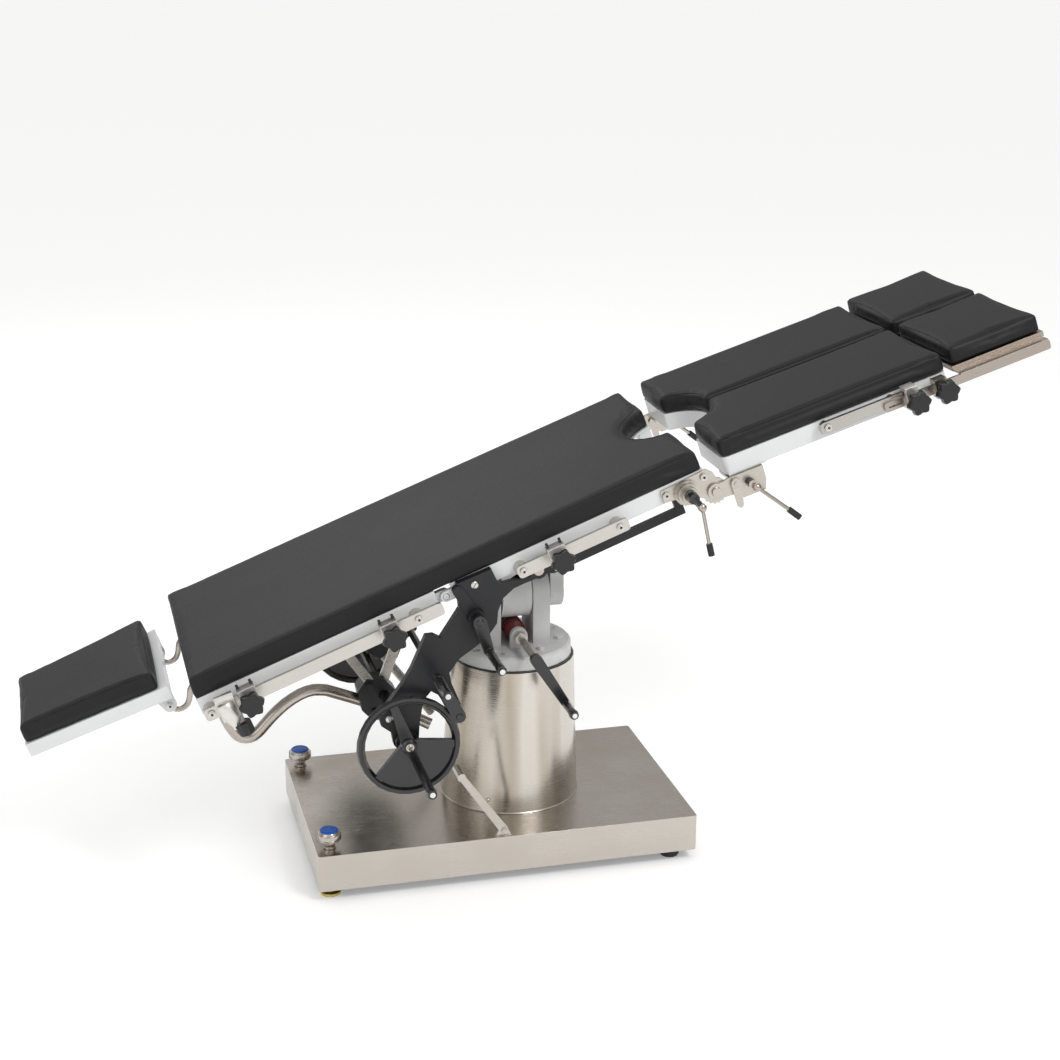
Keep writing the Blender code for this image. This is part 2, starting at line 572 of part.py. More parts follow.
# Struts under the top and the bent rest tube
T0, T1 = Vector((-0.398, 0, -0.184)), Vector((-0.328, 0, -0.252))
TUBE_R = 0.0115
block = prism('Y', [(-0.386, -0.166), (-0.362, -0.150), (-0.330, -0.166), (-0.318, -0.198), (-0.334, -0.232),
                    (-0.350, -0.250), (-0.384, -0.232), (-0.394, -0.206)], -0.032, 0.012)
strut_a = prism('Y', belt((-0.352, -0.185), 0.009, (-0.396, 0.0005), 0.009), -0.030, -0.024)
strut_c = prism('Y', belt((-0.338, -0.182), 0.010, (-0.200, -0.024), 0.009), -0.012, -0.004)
strut_d = prism('Y', belt((-0.200, -0.024), 0.009, (-0.1425, 0.0055), 0.009), -0.012, -0.004)
hexes = [prism('Y', ring(t, h, 0.0075, 6), -0.038, -0.030) for t, h in ((-0.372, -0.218), (-0.362, -0.164))]
bores = [bore((WHEEL[0], -0.1, WHEEL[1]), (WHEEL[0], 0.1, WHEEL[1]), SHAFT_R + RUN),
         bore(tuple(T0 + (T0 - T1) + Vector((0, -0.010, 0))), tuple(T1 + (T1 - T0) + Vector((0, -0.010, 0))),
             TUBE_R + GAP)]
hanger = cut(fuse(block, strut_a, strut_c, strut_d, *hexes), *bores)
node('shaft_hanger', CAST, TABLE, (0, 0, 0), hanger)

PATH = [(-0.634, -0.022, -0.022), (-0.634, -0.022, -0.100), (-0.632, -0.022, -0.128), (-0.627, -0.022, -0.148),
        (-0.616, -0.022, -0.159), (-0.601, -0.022, -0.162), (-0.582, -0.022, -0.155), (-0.556, -0.022, -0.142),
        (-0.522, -0.021, -0.130), (-0.488, -0.020, -0.125), (-0.462, -0.018, -0.129), (-0.440, -0.015, -0.142),
        (-0.398, -0.010, -0.184), (-0.363, -0.010, -0.218), (-0.328, -0.010, -0.252), (-0.306, -0.018, -0.272),
        (-0.284, -0.030, -0.294)]
bend = smooth_path(PATH[:12], 2) + [PATH[12], PATH[13], PATH[14]] + smooth_path(PATH[14:], 2)[1:]
rest = tube_path(bend, TUBE_R)
cap = lathe((-0.634, -0.022, -0.024), (0, 0, 1), [(0, 0.0135), (0.026, 0.0145), (0.0335, 0.012)])
node('rest_tube', CHROME, TABLE, (0, 0, 0), fuse(rest, cap))


# Handwheels on their through shaft
def wheel():
    c, s = WHEEL
    r = WHEEL_R - 0.008
    rim = lathe((c, -WHEEL_Y, s), (0, -1, 0), [
        (-0.0078, r - 0.0030), (0.0, r - 0.0080), (0.0078, r - 0.0030), (0.0070, r + 0.0055),
        (0.0, r + 0.0080), (-0.0070, r + 0.0055)], closed=True)
    hub = turned(c, s, -WHEEL_Y + 0.011, [(0, 0.016), (0.020, 0.015), (0.024, 0.011)])
    web = prism('Y', [(c, s)] + arc(c, s, r - 0.003, 204.7, 336.7, 12), -WHEEL_Y - 0.003, -WHEEL_Y + 0.002)
    spokes = []
    for a in (87.7, -23.3, 204.7):
        tip = (c + (r - 0.004) * cos(radians(a)), s + (r - 0.004) * sin(radians(a)))
        spokes.append(prism('Y', belt((c, s), 0.013, tip, 0.0070, 4), -WHEEL_Y - 0.0055, -WHEEL_Y + 0.0040))
    handle = turned(c, s - 0.036, -WHEEL_Y, [(0, 0.007), (0.012, 0.0085), (0.120, 0.0080), (0.140, 0.0100),
                                             (0.148, 0.0085)])
    return fuse(rim, hub, web, *spokes, handle)


near_wheel = wheel()
shaft = rod((WHEEL[0], -0.2800, WHEEL[1]), (WHEEL[0], 0.2800, WHEEL[1]), SHAFT_R)
node('handwheels', BLACK, TABLE, (WHEEL[0], 0, WHEEL[1]), fuse(shaft, near_wheel, mirror(near_wheel)))


# Hand cranks on the near casting
def crank(axis, end, inner, outer, length, name):
    shaft_ = rod((axis[0], inner, axis[1]), (axis[0], outer + 0.003, axis[1]), CRANK_R)
    arm_ = prism('Y', belt(axis, 0.0125, end, 0.0095), outer, outer + 0.012)
    hub = turned(axis[0], axis[1], outer + 0.001, [(0, 0.0075), (0.0035, 0.006)])
    grip_ = turned(end[0], end[1], outer + 0.003, [(0, 0.006), (0.008, 0.0085), (length - 0.022, 0.0080),
                                                  (length - 0.004, 0.0098), (length, 0.0085)])
    node(name, BLACK, TABLE, (axis[0], 0, axis[1]), fuse(shaft_, arm_, hub, grip_))


crank(CRANK_A, ARM_A, -0.215, -0.2865, 0.100, 'crank_a')
crank(CRANK_B, ARM_B, 0.205, -0.3120, 0.082, 'crank_b')

# Back drive: swinging gear housing and its lead screw
P = Vector((NUT[0], SCREW_Y, NUT[1]))
D = Vector((SCREW_DIR[0], 0, SCREW_DIR[1]))
case = prism('Y', belt(CRANK_B, 0.019, NUT, 0.0150), 0.163, 0.197)
nose = rod(tuple(P - D * 0.019), tuple(P + D * 0.019), 0.0150)
case = cut(fuse(case, nose),
           bore((CRANK_B[0], 0.1, CRANK_B[1]), (CRANK_B[0], 0.25, CRANK_B[1]), CRANK_R + RUN),
           bore(tuple(P - D * 0.1), tuple(P + D * 0.1), SCREW_R + SLIDE))
node('back_gearbox', CAST, TABLE, (CRANK_B[0], SCREW_Y, CRANK_B[1]), case)
screw = rod(tuple(P - D * SCREW_DOWN), tuple(P + D * (SCREW_UP - 0.004)), SCREW_R)
END = P + D * SCREW_UP
eye = rod((END.x, SCREW_Y - 0.008, END.z), (END.x, SCREW_Y + 0.008, END.z), 0.0120)
stub = rod((END.x, SCREW_Y, END.z), (END.x, 0.1920, END.z), 0.0050)
node('back_screw', STEEL, TABLE, tuple(P), fuse(screw, eye, stub))

# Back frame, its lug for the screw and the rails
bits = [prism('Z', [(BACK_T0, -FRAME_HALF), (BACK_T0, FRAME_HALF), (BACK_T1, FRAME_HALF), (BACK_T1, -FRAME_HALF)],
              FRAME_H1 - 0.0025, FRAME_H1)]
for s in (-1, 1):
    bits.append(fixed_box(BACK_T0, BACK_T1, s * FRAME_HALF, s * INNER, FRAME_H0, FRAME_H1 - 0.001))
    bits.append(ear(BACK_T1 - 0.004, s * 0.2090, s * 0.2220))
    bits.append(rod((HINGE_T, s * 0.2100, HINGE_H), (HINGE_T, s * 0.2335, HINGE_H), 0.006))
for t0, t1, low in ((BACK_T0 + 0.0005, BACK_T0 + TUBE, 0.0153), (-0.415, -0.385, FRAME_H0 + 0.0002),
                    (-0.214, BACK_T1 - 0.0005, 0.0153)):
    bits.append(box(t0, t1, -INNER - 0.002, INNER + 0.002, low, FRAME_H1 - 0.0012))
bits.append(prism('Y', belt((END.x, END.z), 0.0120, (END.x, 0.030), 0.0115), 0.1925, 0.2100))
bits.append(prism('Y', [(-0.6515, 0.0103), (-0.6190, 0.0103), (-0.6190, 0.0200), (-0.6515, 0.0200)], -0.045, 0.003))
back_rail = rail(-0.6485, -0.186, RAIL_H0, RAIL_H1, (-0.636, -0.235), RAIL_H, FRAME_HALF)
bits += [back_rail, mirror(back_rail)]
back = cut(fuse(*bits), *[bore((-0.70, s * ROD_Y, 0.0265), (-0.60, s * ROD_Y, 0.0265), ROD_R + SLIDE)
                          for s in (-1, 1)])
node('back_frame', WHITE, TABLE, (HINGE_T, 0, HINGE_H), back)

# Mattress: back and seat parts of one pad with the flexing fold between
F0, F1 = FOLD * (PAD_H0 - HINGE_H), FOLD * (PAD_H1 - HINGE_H)


def pad_block(outline, extra=None):
    """Pad seen from the side, its long top edges eased."""
    body = prism('Y', outline, -PAD_HALF, PAD_HALF)
    cuts = []
    for s in (-1, 1):
        y = s * PAD_HALF
        cuts.append(prism('X', [(y + s * 0.010, PAD_H1 - 0.007), (y + s * 0.010, PAD_H1 + 0.010),
                                (y - s * 0.007, PAD_H1 + 0.010), (y - s * 0.007, PAD_H1 + 0.0003),
                                (y + s * 0.0003, PAD_H1 - 0.007)], -1.2, 1.2))
    return cut(body, *(cuts + (extra or [])))


node('back_pad', PAD, TABLE, (HINGE_T, 0, HINGE_H), pad_block(
    [(-0.642, PAD_H0), (HINGE_T - F0, PAD_H0), (HINGE_T - F1, PAD_H1), (-0.635, PAD_H1), (-0.642, PAD_H1 - 0.007)]))
node('seat_pad', PAD, TABLE, (0, 0, 0), pad_block(
    [(HINGE_T + F0, PAD_H0), (0.354, PAD_H0), (0.354, PAD_H1 - 0.007), (0.347, PAD_H1), (HINGE_T + F1, PAD_H1)],
    [rod((NOTCH_T, 0, 0), (NOTCH_T, 0, 0.2), NOTCH_R)]))
node('pad_fold', PAD, TABLE, (HINGE_T, 0, HINGE_H), pad_block(
    [(HINGE_T - F0 + GAP, PAD_H0), (HINGE_T + F0 - GAP, PAD_H0), (HINGE_T + F1 - GAP, PAD_H1),
     (HINGE_T - F1 + GAP, PAD_H1)]))

# Head section: two bent rods slide in the back frame, the white tray tips on them
bars = []
for s in (-1, 1):
    y = s * ROD_Y
    line = [(-0.560, y, 0.0265), (-0.640, y, 0.0265)] + smooth_path([
        (-0.652, y, 0.0262), (-0.662, y, 0.0190), (-0.669, y, 0.0060), (-0.678, y, -0.0050), (-0.690, y, -0.0085),
        (-0.701, y, -0.0050), (-0.706, y, 0.0040)], 2)
    bars.append(tube_path(line, ROD_R))
    bars.append(rod((HEAD_T, y - 0.008, HEAD_H), (HEAD_T, y + 0.008, HEAD_H), 0.0110))
bars.append(rod((-0.566, -ROD_Y, 0.0265), (-0.566, ROD_Y, 0.0265), 0.005))
rods = cut(fuse(*bars), bore((HEAD_T, -0.2, HEAD_H), (HEAD_T, 0.2, HEAD_H), 0.006 + RUN))
node('head_rods', CHROME, TABLE, (-0.652, 0, 0.0265), rods)


def trapeze(inset, t0=-0.968, t1=-0.694):
    pts = [(t1 - inset, -0.151 + inset), (t1 - inset, 0.151 - inset), (t0 + inset, 0.127 - inset),
           (t0 + inset, -0.127 + inset)]
    return pts


tray = cut(prism('Z', trapeze(0), 0.030, 0.0557), prism('Z', trapeze(0.003), 0.02, 0.0530))
cheeks = []
for s in (-1, 1):
    y0, y1 = s * 0.1300, s * 0.1385
    cheeks.append(prism('Y', [(-0.730, 0.0540), (-0.694, 0.0540), (-0.6935, 0.020)]
                        + arc(HEAD_T, HEAD_H, 0.0130, 0, -170, 10) + [(-0.724, 0.028)], y0, y1))
    cheeks.append(rod((HEAD_T, s * 0.1105, HEAD_H), (HEAD_T, s * 0.1425, HEAD_H), 0.006))
node('head_frame', WHITE, TABLE, (HEAD_T, 0, HEAD_H), fuse(tray, *cheeks))
top_ring = trapeze(0.007, -0.970, -0.706)
low_ring = trapeze(0.0, -0.970, -0.706)
verts = [(p[0], p[1], 0.0560) for p in low_ring] + [(p[0], p[1], 0.0850) for p in low_ring]
verts += [(p[0], p[1], 0.0920) for p in top_ring]
faces = [(0, 1, 2, 3), (11, 10, 9, 8)]
for base in (0, 4):
    faces += [(base + i, base + (i + 1) % 4, base + 4 + (i + 1) % 4, base + 4 + i) for i in range(4)]
node('head_pad', PAD, TABLE, (HEAD_T, 0, HEAD_H), (verts, faces))


# Accessory clamps on the near rails
def star(x, z, y, reach):
    """Six lobed hand knob on a stud; y is the outer face it clamps against."""
    lobes = []
    for k in range(24):
        a = 2 * pi * k / 24
        lobes.append((a, 0.0218 + 0.0030 * cos(6 * a)))
    rows = [(reach + 0.0, 0.85), (reach + 0.006, 1.0), (reach + 0.018, 0.92)]
    verts_, faces_ = [], []
    for d, f in rows:
        verts_ += [(x + r * f * cos(a), y - d, z + r * f * sin(a)) for a, r in lobes]
    for m in range(len(rows) - 1):
        for k in range(24):
            j = (k + 1) % 24
            faces_.append((m * 24 + k, m * 24 + j, (m + 1) * 24 + j, (m + 1) * 24 + k))
    faces_ += [tuple(range(24)), tuple(range(71, 47, -1))]
    neck = turned(x, z, y - GAP, [(0, 0.0075), (reach + 0.002, 0.0090)])
    return fuse((verts_, faces_), neck)


def rail_block(t, half):
    """Clamp body round the rail with two stop pins on top."""
    body = prism('X', [(-0.2760, -0.004), (-0.2505, -0.004), (-0.2505, 0.0385), (-0.2760, 0.0385)], t - half,
                 t + half,
                 [[(-RAIL_Y1 - CLAMP_PLAY, RAIL_H0 - SLIDE), (-RAIL_Y0 + SLIDE, RAIL_H0 - SLIDE),
                   (-RAIL_Y0 + SLIDE, RAIL_H1 + SLIDE), (-RAIL_Y1 - CLAMP_PLAY, RAIL_H1 + SLIDE)]])
    pins = [rod((t + s * (half - 0.004), -0.262, 0.037), (t + s * (half - 0.004), -0.262, 0.048), 0.0028)
            for s in (-1, 1)]
    return fuse(body, *pins)


for k, t in ((1, -0.564), (2, -0.289), (3, 0.041)):
    node('rail_clamp_%d' % k, CHROME, TABLE, (t, -0.258, RAIL_H), rail_block(t, 0.0165))
    node('clamp_knob_%d' % k, BLACK, TABLE, (t, -0.276, RAIL_H), star(t, RAIL_H, -0.276, 0.014))

T_C, T_K = -0.6060, -0.5920
clark = [prism('X', [(-0.2760, -0.004), (-0.2505, -0.004), (-0.2505, 0.0385), (-0.2760, 0.0385)],
               T_C - 0.0165, T_C + 0.0165,
               [[(-RAIL_Y1 - CLAMP_PLAY, RAIL_H0 - SLIDE), (-RAIL_Y0 + SLIDE, RAIL_H0 - SLIDE),
                 (-RAIL_Y0 + SLIDE, RAIL_H1 + SLIDE), (-RAIL_Y1 - CLAMP_PLAY, RAIL_H1 + SLIDE)]]),
         lathe((T_C - 0.002, -0.286, 0.036), (0.10, 0, -1), [(0, 0.0125), (0.006, 0.0155), (0.030, 0.0150),
                                                           (0.048, 0.0085), (0.054, 0.0085)]),
         rod((T_C - 0.016, -0.284, 0.0430), (T_C + 0.018, -0.284, 0.0400), 0.0075),
         rod((T_K, -0.270, 0.0000), (T_K, -0.290, -0.0125), 0.0050),
         box(T_K - 0.008, T_C + 0.0160, -0.2750, -0.2640, -0.009, 0.0030)]
ribs = []
for k in range(28):
    a = 2 * pi * k / 28
    ribs.append((T_K + (0.0145 if k % 2 else 0.0133) * cos(a), -0.2885 + (0.0145 if k % 2 else 0.0133) * sin(a)))
clark.append(prism('Z', ribs, -0.0330, -0.0105))
node('socket_clamp', CHROME, TABLE, (T_C, -0.258, RAIL_H), fuse(*clark))


# Leg sections, drawn for the near side in the leg frame and mirrored for the far side
def leg_outline(inset, out):
    r = CUT_R + inset
    u0, u1, yi, yo = LEG_U0 + inset, LEG_U1 - inset, -LEG_IN - inset, -out + inset
    start = -atan2((r * r - (u0 - CUT_U) ** 2) ** 0.5, u0 - CUT_U)
    stop = -atan2(-yi, (r * r - yi * yi) ** 0.5)
    pts = [(CUT_U + r * cos(start + (stop - start) * i / 9), r * sin(start + (stop - start) * i / 9))
           for i in range(10)]
    pts += [(u1, yi)] + [(u1 - 0.014 + 0.014 * cos(radians(a)), yo + 0.014 - 0.014 * sin(radians(a)))
                         for a in (0, 30, 60, 90)]
    pts += [(u0 + 0.014 - 0.014 * sin(radians(a)), yo + 0.014 - 0.014 * cos(radians(a))) for a in (0, 30, 60, 90)]
    return pts


shell = cut(prism('Z', leg_outline(0.003, 0.243), LEG_V0, LEG_V1),
            prism('Z', leg_outline(0.0065, 0.243), 0.0, LEG_V1 - 0.003))
swivel = prism('Z', [(0.034, -0.2385), (0.110, -0.2385), (0.110, -0.178), (0.034, -0.178)], 0.0165, 0.0225)
leg_rail = rail(0.218, 0.411, LEG_RAIL_V0, LEG_RAIL_V1, (0.232, 0.368), 0.044, 0.240, 0.009, 1)
leg_frame = cut(fuse(shell, swivel, leg_rail),
                bore((SWING_U, -SWING_Y, 0), (SWING_U, -SWING_Y, 0.04), 0.010 + RUN))
low = leg_outline(0.0, 0.243)
top = leg_outline(0.007, 0.243)
n_ = len(low)
lv = [(p[0], p[1], LEG_V1 + GAP) for p in low] + [(p[0], p[1], LEG_V2 - 0.007) for p in low]
lv += [(p[0], p[1], LEG_V2) for p in top]
lf = [tuple(range(n_)), tuple(range(3 * n_ - 1, 2 * n_ - 1, -1))]
for base in (0, n_):
    for i in range(n_):
        j = (i + 1) % n_
        lf += [(base + i, base + j, base + n_ + j, base + n_ + i)]
leg_pad = (lv, lf)

FACE = [(-0.004, -0.015), (0.033, -0.018), (0.048, -0.031), (0.092, -0.031), (0.098, -0.012), (0.098, 0.0160),
        (0.028, 0.0160), (0.010, 0.0125)]
FACE += arc(0, 0, 0.0155, 75, 255, 9)
bracket = fuse(prism('Y', FACE, -0.2457, -0.2400),
               box(0.030, 0.098, -0.2450, -0.190, 0.0100, 0.0160),
               rod((SWING_U, -SWING_Y, 0.012), (SWING_U, -SWING_Y, 0.0300), 0.010),
               lathe((SWING_U, -SWING_Y, 0.0230), (0, 0, 1), [(0, 0.015), (0.007, 0.014)]),
               turned(0, 0, -0.2300, [(0, 0.012), (0.0037, 0.012), (0.0037, 0.0075), (0.0160, 0.0075),
                                      (0.0160, 0.0095), (0.0200, 0.0085)]))
bracket = cut(bracket, bore((0.039, -0.26, 0.003), (0.039, -0.23, 0.003), 0.004 + RUN))
pawl = fuse(prism('Y', belt((0.039, 0.003), 0.0100, (0.0365, -0.040), 0.0055), -0.2525, -0.2462),
            turned(0.039, 0.003, -0.2345, [(0, 0.004), (0.020, 0.004)]),
            prism('Y', [(0.044, 0.007), (0.034, 0.008), (0.0268, 0.001), (0.0268, -0.003), (0.036, -0.003),
                        (0.044, -0.001)], -0.2394, -0.2345))
swing_lever = fuse(turned(0.066, -0.006, -0.2460, [(0, 0.0060), (0.003, 0.0085), (0.016, 0.0080)]),
                   lathe((0.071, -0.2640, -0.0130), (0.5, -0.5, -0.7), [(-0.0085, 0.003), (-0.0055, 0.0065), (0, 0.0085),
                                                                     (0.0055, 0.0065), (0.0085, 0.003)]),
                   rod((0.071, -0.2640, -0.0130), (0.117, -0.2820, -0.0760), 0.0038),
                   rod((0.113, -0.2805, -0.0705), (0.128, -0.2865, -0.0920), 0.0062))
hub_lever = fuse(turned(0.307, 0.016, -0.2735, [(0, 0.0080), (0.0, 0.0115), (0.014, 0.0105)]),
                 rod((0.307, -0.2820, 0.016), (0.3145, -0.2870, -0.004), 0.0065),
                 lathe((0.3150, -0.2885, -0.0050), (0, -0.2, -1), [(-0.0085, 0.003), (-0.0055, 0.0065), (0, 0.0085),
                                                                  (0.0055, 0.0065), (0.0085, 0.003)]),
                 rod((0.3150, -0.2885, -0.0050), (0.3015, -0.2960, -0.078), 0.0036),
                 rod((0.3025, -0.2955, -0.072), (0.2990, -0.2975, -0.095), 0.0062))
leg_block = prism('X', [(-0.2785, 0.0210), (-0.2500, 0.0210), (-0.2500, 0.0640), (-0.2785, 0.0640)], 0.3870, 0.4110,
                  [[(-0.2686, 0.0290), (-RAIL_Y0 + GAP, 0.0290), (-RAIL_Y0 + GAP, 0.0560), (-0.2686, 0.0560)]])
BAR_Y0, BAR_Y1 = 0.2625, 0.2681
bar = prism('Y', rounded(0.345, FOOT_U1 - 0.002, 0.0300, 0.0480, 0.004, 2), -BAR_Y1, -BAR_Y0,
            [rounded(0.352, 0.382, 0.0365, 0.0415, 0.0024, 3)])
flange = box(FOOT_U0 + 0.004, FOOT_U1 - 0.004, -0.2680, -0.2250, 0.0465, 0.0500)
second = prism('X', [(-0.2785, 0.0215), (-0.2560, 0.0215), (-0.2560, 0.0580), (-0.2785, 0.0580)], 0.4460, 0.4700)
board = prism('Z', [(FOOT_U0, -0.2440), (FOOT_U1, -0.2440), (FOOT_U1, -0.0075), (FOOT_U0, -0.0075)],
              0.0490, 0.0590)
foot_plate = fuse(bar, flange, second, board)


def foot_ring(inset, v):
    return [(FOOT_U0 + inset, -0.2450 + inset, v), (FOOT_U1 - inset, -0.2450 + inset, v),
            (FOOT_U1 - inset, -0.0065 - inset, v), (FOOT_U0 + inset, -0.0065 - inset, v)]


foot_verts = foot_ring(0, 0.0593) + foot_ring(0, 0.0890) + foot_ring(0.007, 0.0960)
foot_faces = [(0, 1, 2, 3), (11, 10, 9, 8)]
for base in (0, 4):
    foot_faces += [(base + i, base + (i + 1) % 4, base + 4 + (i + 1) % 4, base + 4 + i) for i in range(4)]
knob_a = star(0.3990, 0.0380, -0.2785, 0.012)
knob_b = star(0.4580, 0.0380, -0.2785, 0.012)

for side, s in (('near', -1), ('far', 1)):
    def put(name, finish, where, pivot, *solids):
        point = (pivot[0], pivot[1] * -s, pivot[2])
        node(name + '_' + side, finish, where, point, *[x if s < 0 else mirror(x) for x in solids])

    put('leg_bracket', STEEL, LEG, (0, 0, 0), bracket)
    put('leg_frame', WHITE, LEG, (SWING_U, -SWING_Y, 0.0163), leg_frame)
    put('leg_pad', PAD, LEG, (SWING_U, -SWING_Y, 0.0163), leg_pad)
    put('leg_clamp', STEEL, LEG, (SWING_U, -SWING_Y, 0.0163), leg_block)
    put('ratchet_pawl', STEEL, LEG, (0.039, -0.2400, 0.003), pawl)
    put('hub_lever', BLACK, TABLE, (0.307, -0.2735, 0.016), hub_lever)
    put('swing_lever', BLACK, LEG, (0.066, -0.2460, -0.006), swing_lever)
    put('foot_plate', STEEL, LEG, (0.3990, -0.2653, 0.0390), foot_plate)
    put('foot_pad', PAD, LEG, (0.3990, -0.2653, 0.0390), (foot_verts, foot_faces))
    put('rail_knob', BLACK, LEG, (0.3990, -0.2785, 0.0380), knob_a)
    put('foot_knob', BLACK, LEG, (0.4580, -0.2785, 0.0380), knob_b)
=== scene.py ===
"""Looks of the operating table: materials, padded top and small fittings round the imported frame."""
import bpy
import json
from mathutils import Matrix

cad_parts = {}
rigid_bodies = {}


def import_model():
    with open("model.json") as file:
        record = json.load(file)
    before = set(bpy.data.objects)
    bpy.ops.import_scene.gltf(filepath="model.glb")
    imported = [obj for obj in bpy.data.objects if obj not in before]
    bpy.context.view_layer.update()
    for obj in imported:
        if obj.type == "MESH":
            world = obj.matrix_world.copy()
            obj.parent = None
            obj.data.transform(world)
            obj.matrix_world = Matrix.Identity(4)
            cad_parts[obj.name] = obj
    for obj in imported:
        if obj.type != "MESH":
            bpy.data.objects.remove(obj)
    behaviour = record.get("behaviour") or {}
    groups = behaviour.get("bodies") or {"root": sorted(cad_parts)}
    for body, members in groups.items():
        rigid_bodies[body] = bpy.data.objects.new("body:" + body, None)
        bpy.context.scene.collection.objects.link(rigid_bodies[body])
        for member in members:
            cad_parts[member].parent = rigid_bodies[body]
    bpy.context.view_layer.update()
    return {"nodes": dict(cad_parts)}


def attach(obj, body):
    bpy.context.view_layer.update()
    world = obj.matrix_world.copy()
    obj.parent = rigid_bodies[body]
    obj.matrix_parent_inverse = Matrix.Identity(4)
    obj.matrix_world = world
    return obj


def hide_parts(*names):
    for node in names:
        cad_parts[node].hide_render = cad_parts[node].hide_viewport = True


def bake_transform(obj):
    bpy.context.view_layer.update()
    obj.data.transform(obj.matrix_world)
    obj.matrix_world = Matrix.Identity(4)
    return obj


for old in list(bpy.data.objects):
    bpy.data.objects.remove(old, do_unlink=True)
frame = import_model()

import json
import bmesh
from math import sin, cos, pi, radians, hypot, atan2
from mathutils import Matrix, Vector, noise
from mathutils.bvhtree import BVHTree

NODES = frame["nodes"]
TILT = radians(21.29)
LEG_DROP = radians(3.21)
TABLE = Matrix.Translation((-0.010, 0, 0.6095)) @ Matrix.Rotation(-TILT, 4, 'Y')
LEG = TABLE @ Matrix.Translation((0.359, 0, -0.006)) @ Matrix.Rotation(LEG_DROP, 4, 'Y')
WORLD = Matrix.Identity(4)
SIDES = (('near', -1), ('far', 1))

SCREW_SEAT = 0.2644             # half distance between the seats of the rail screws
HINGE_SEAT = 0.2424             # the same for the screws of the leg hinges
HEAD_SEAT = 0.1424              # the same for the head section's pivot screws
JACK_T, JACK_Y, JACK_Z = -0.396, 0.190, 0.0725      # jacking screws, top of the base cover
KNURL_STEPS = 96                # flanks of the knurling round a jacking screw's head
KNURL_DEPTH = 0.018             # share of the radius
CAP_RIBS = 20                   # ribs on the cap of a jacking screw
WHEEL_T, WHEEL_H = -0.343, -0.195       # handwheel shaft in the table's frame
WHEEL_LINE = 0.0862             # radius of the bead on the wheels' rims
GRIP_H = -0.231                 # the same height for the handwheels' grips
CASTING_FACE = 0.2498           # outer face of the near casting
NUT = Vector((-0.3149, 0.180, -0.1890))         # lifting screw where it passes its housing
SCREW_AXIS = Vector((-0.2590, 0, 0.9659))
SCREW_PITCH = 0.005             # of the lifting screw
THREAD_RADIUS = 0.0082          # middle of the coil that makes the thread
FLOOR_Z = -0.0222
CAMERA_AT = (-0.88191, -3.50824, 1.76270)
CAMERA_YAW, CAMERA_PITCH, CAMERA_ROLL = radians(14.695), radians(17.692), radians(0.401)
FOCAL_PIXELS, PHOTO_PIXELS = 1968.09, 1060      # focal length and width of the photograph
SENSOR = 36                     # width in millimetres


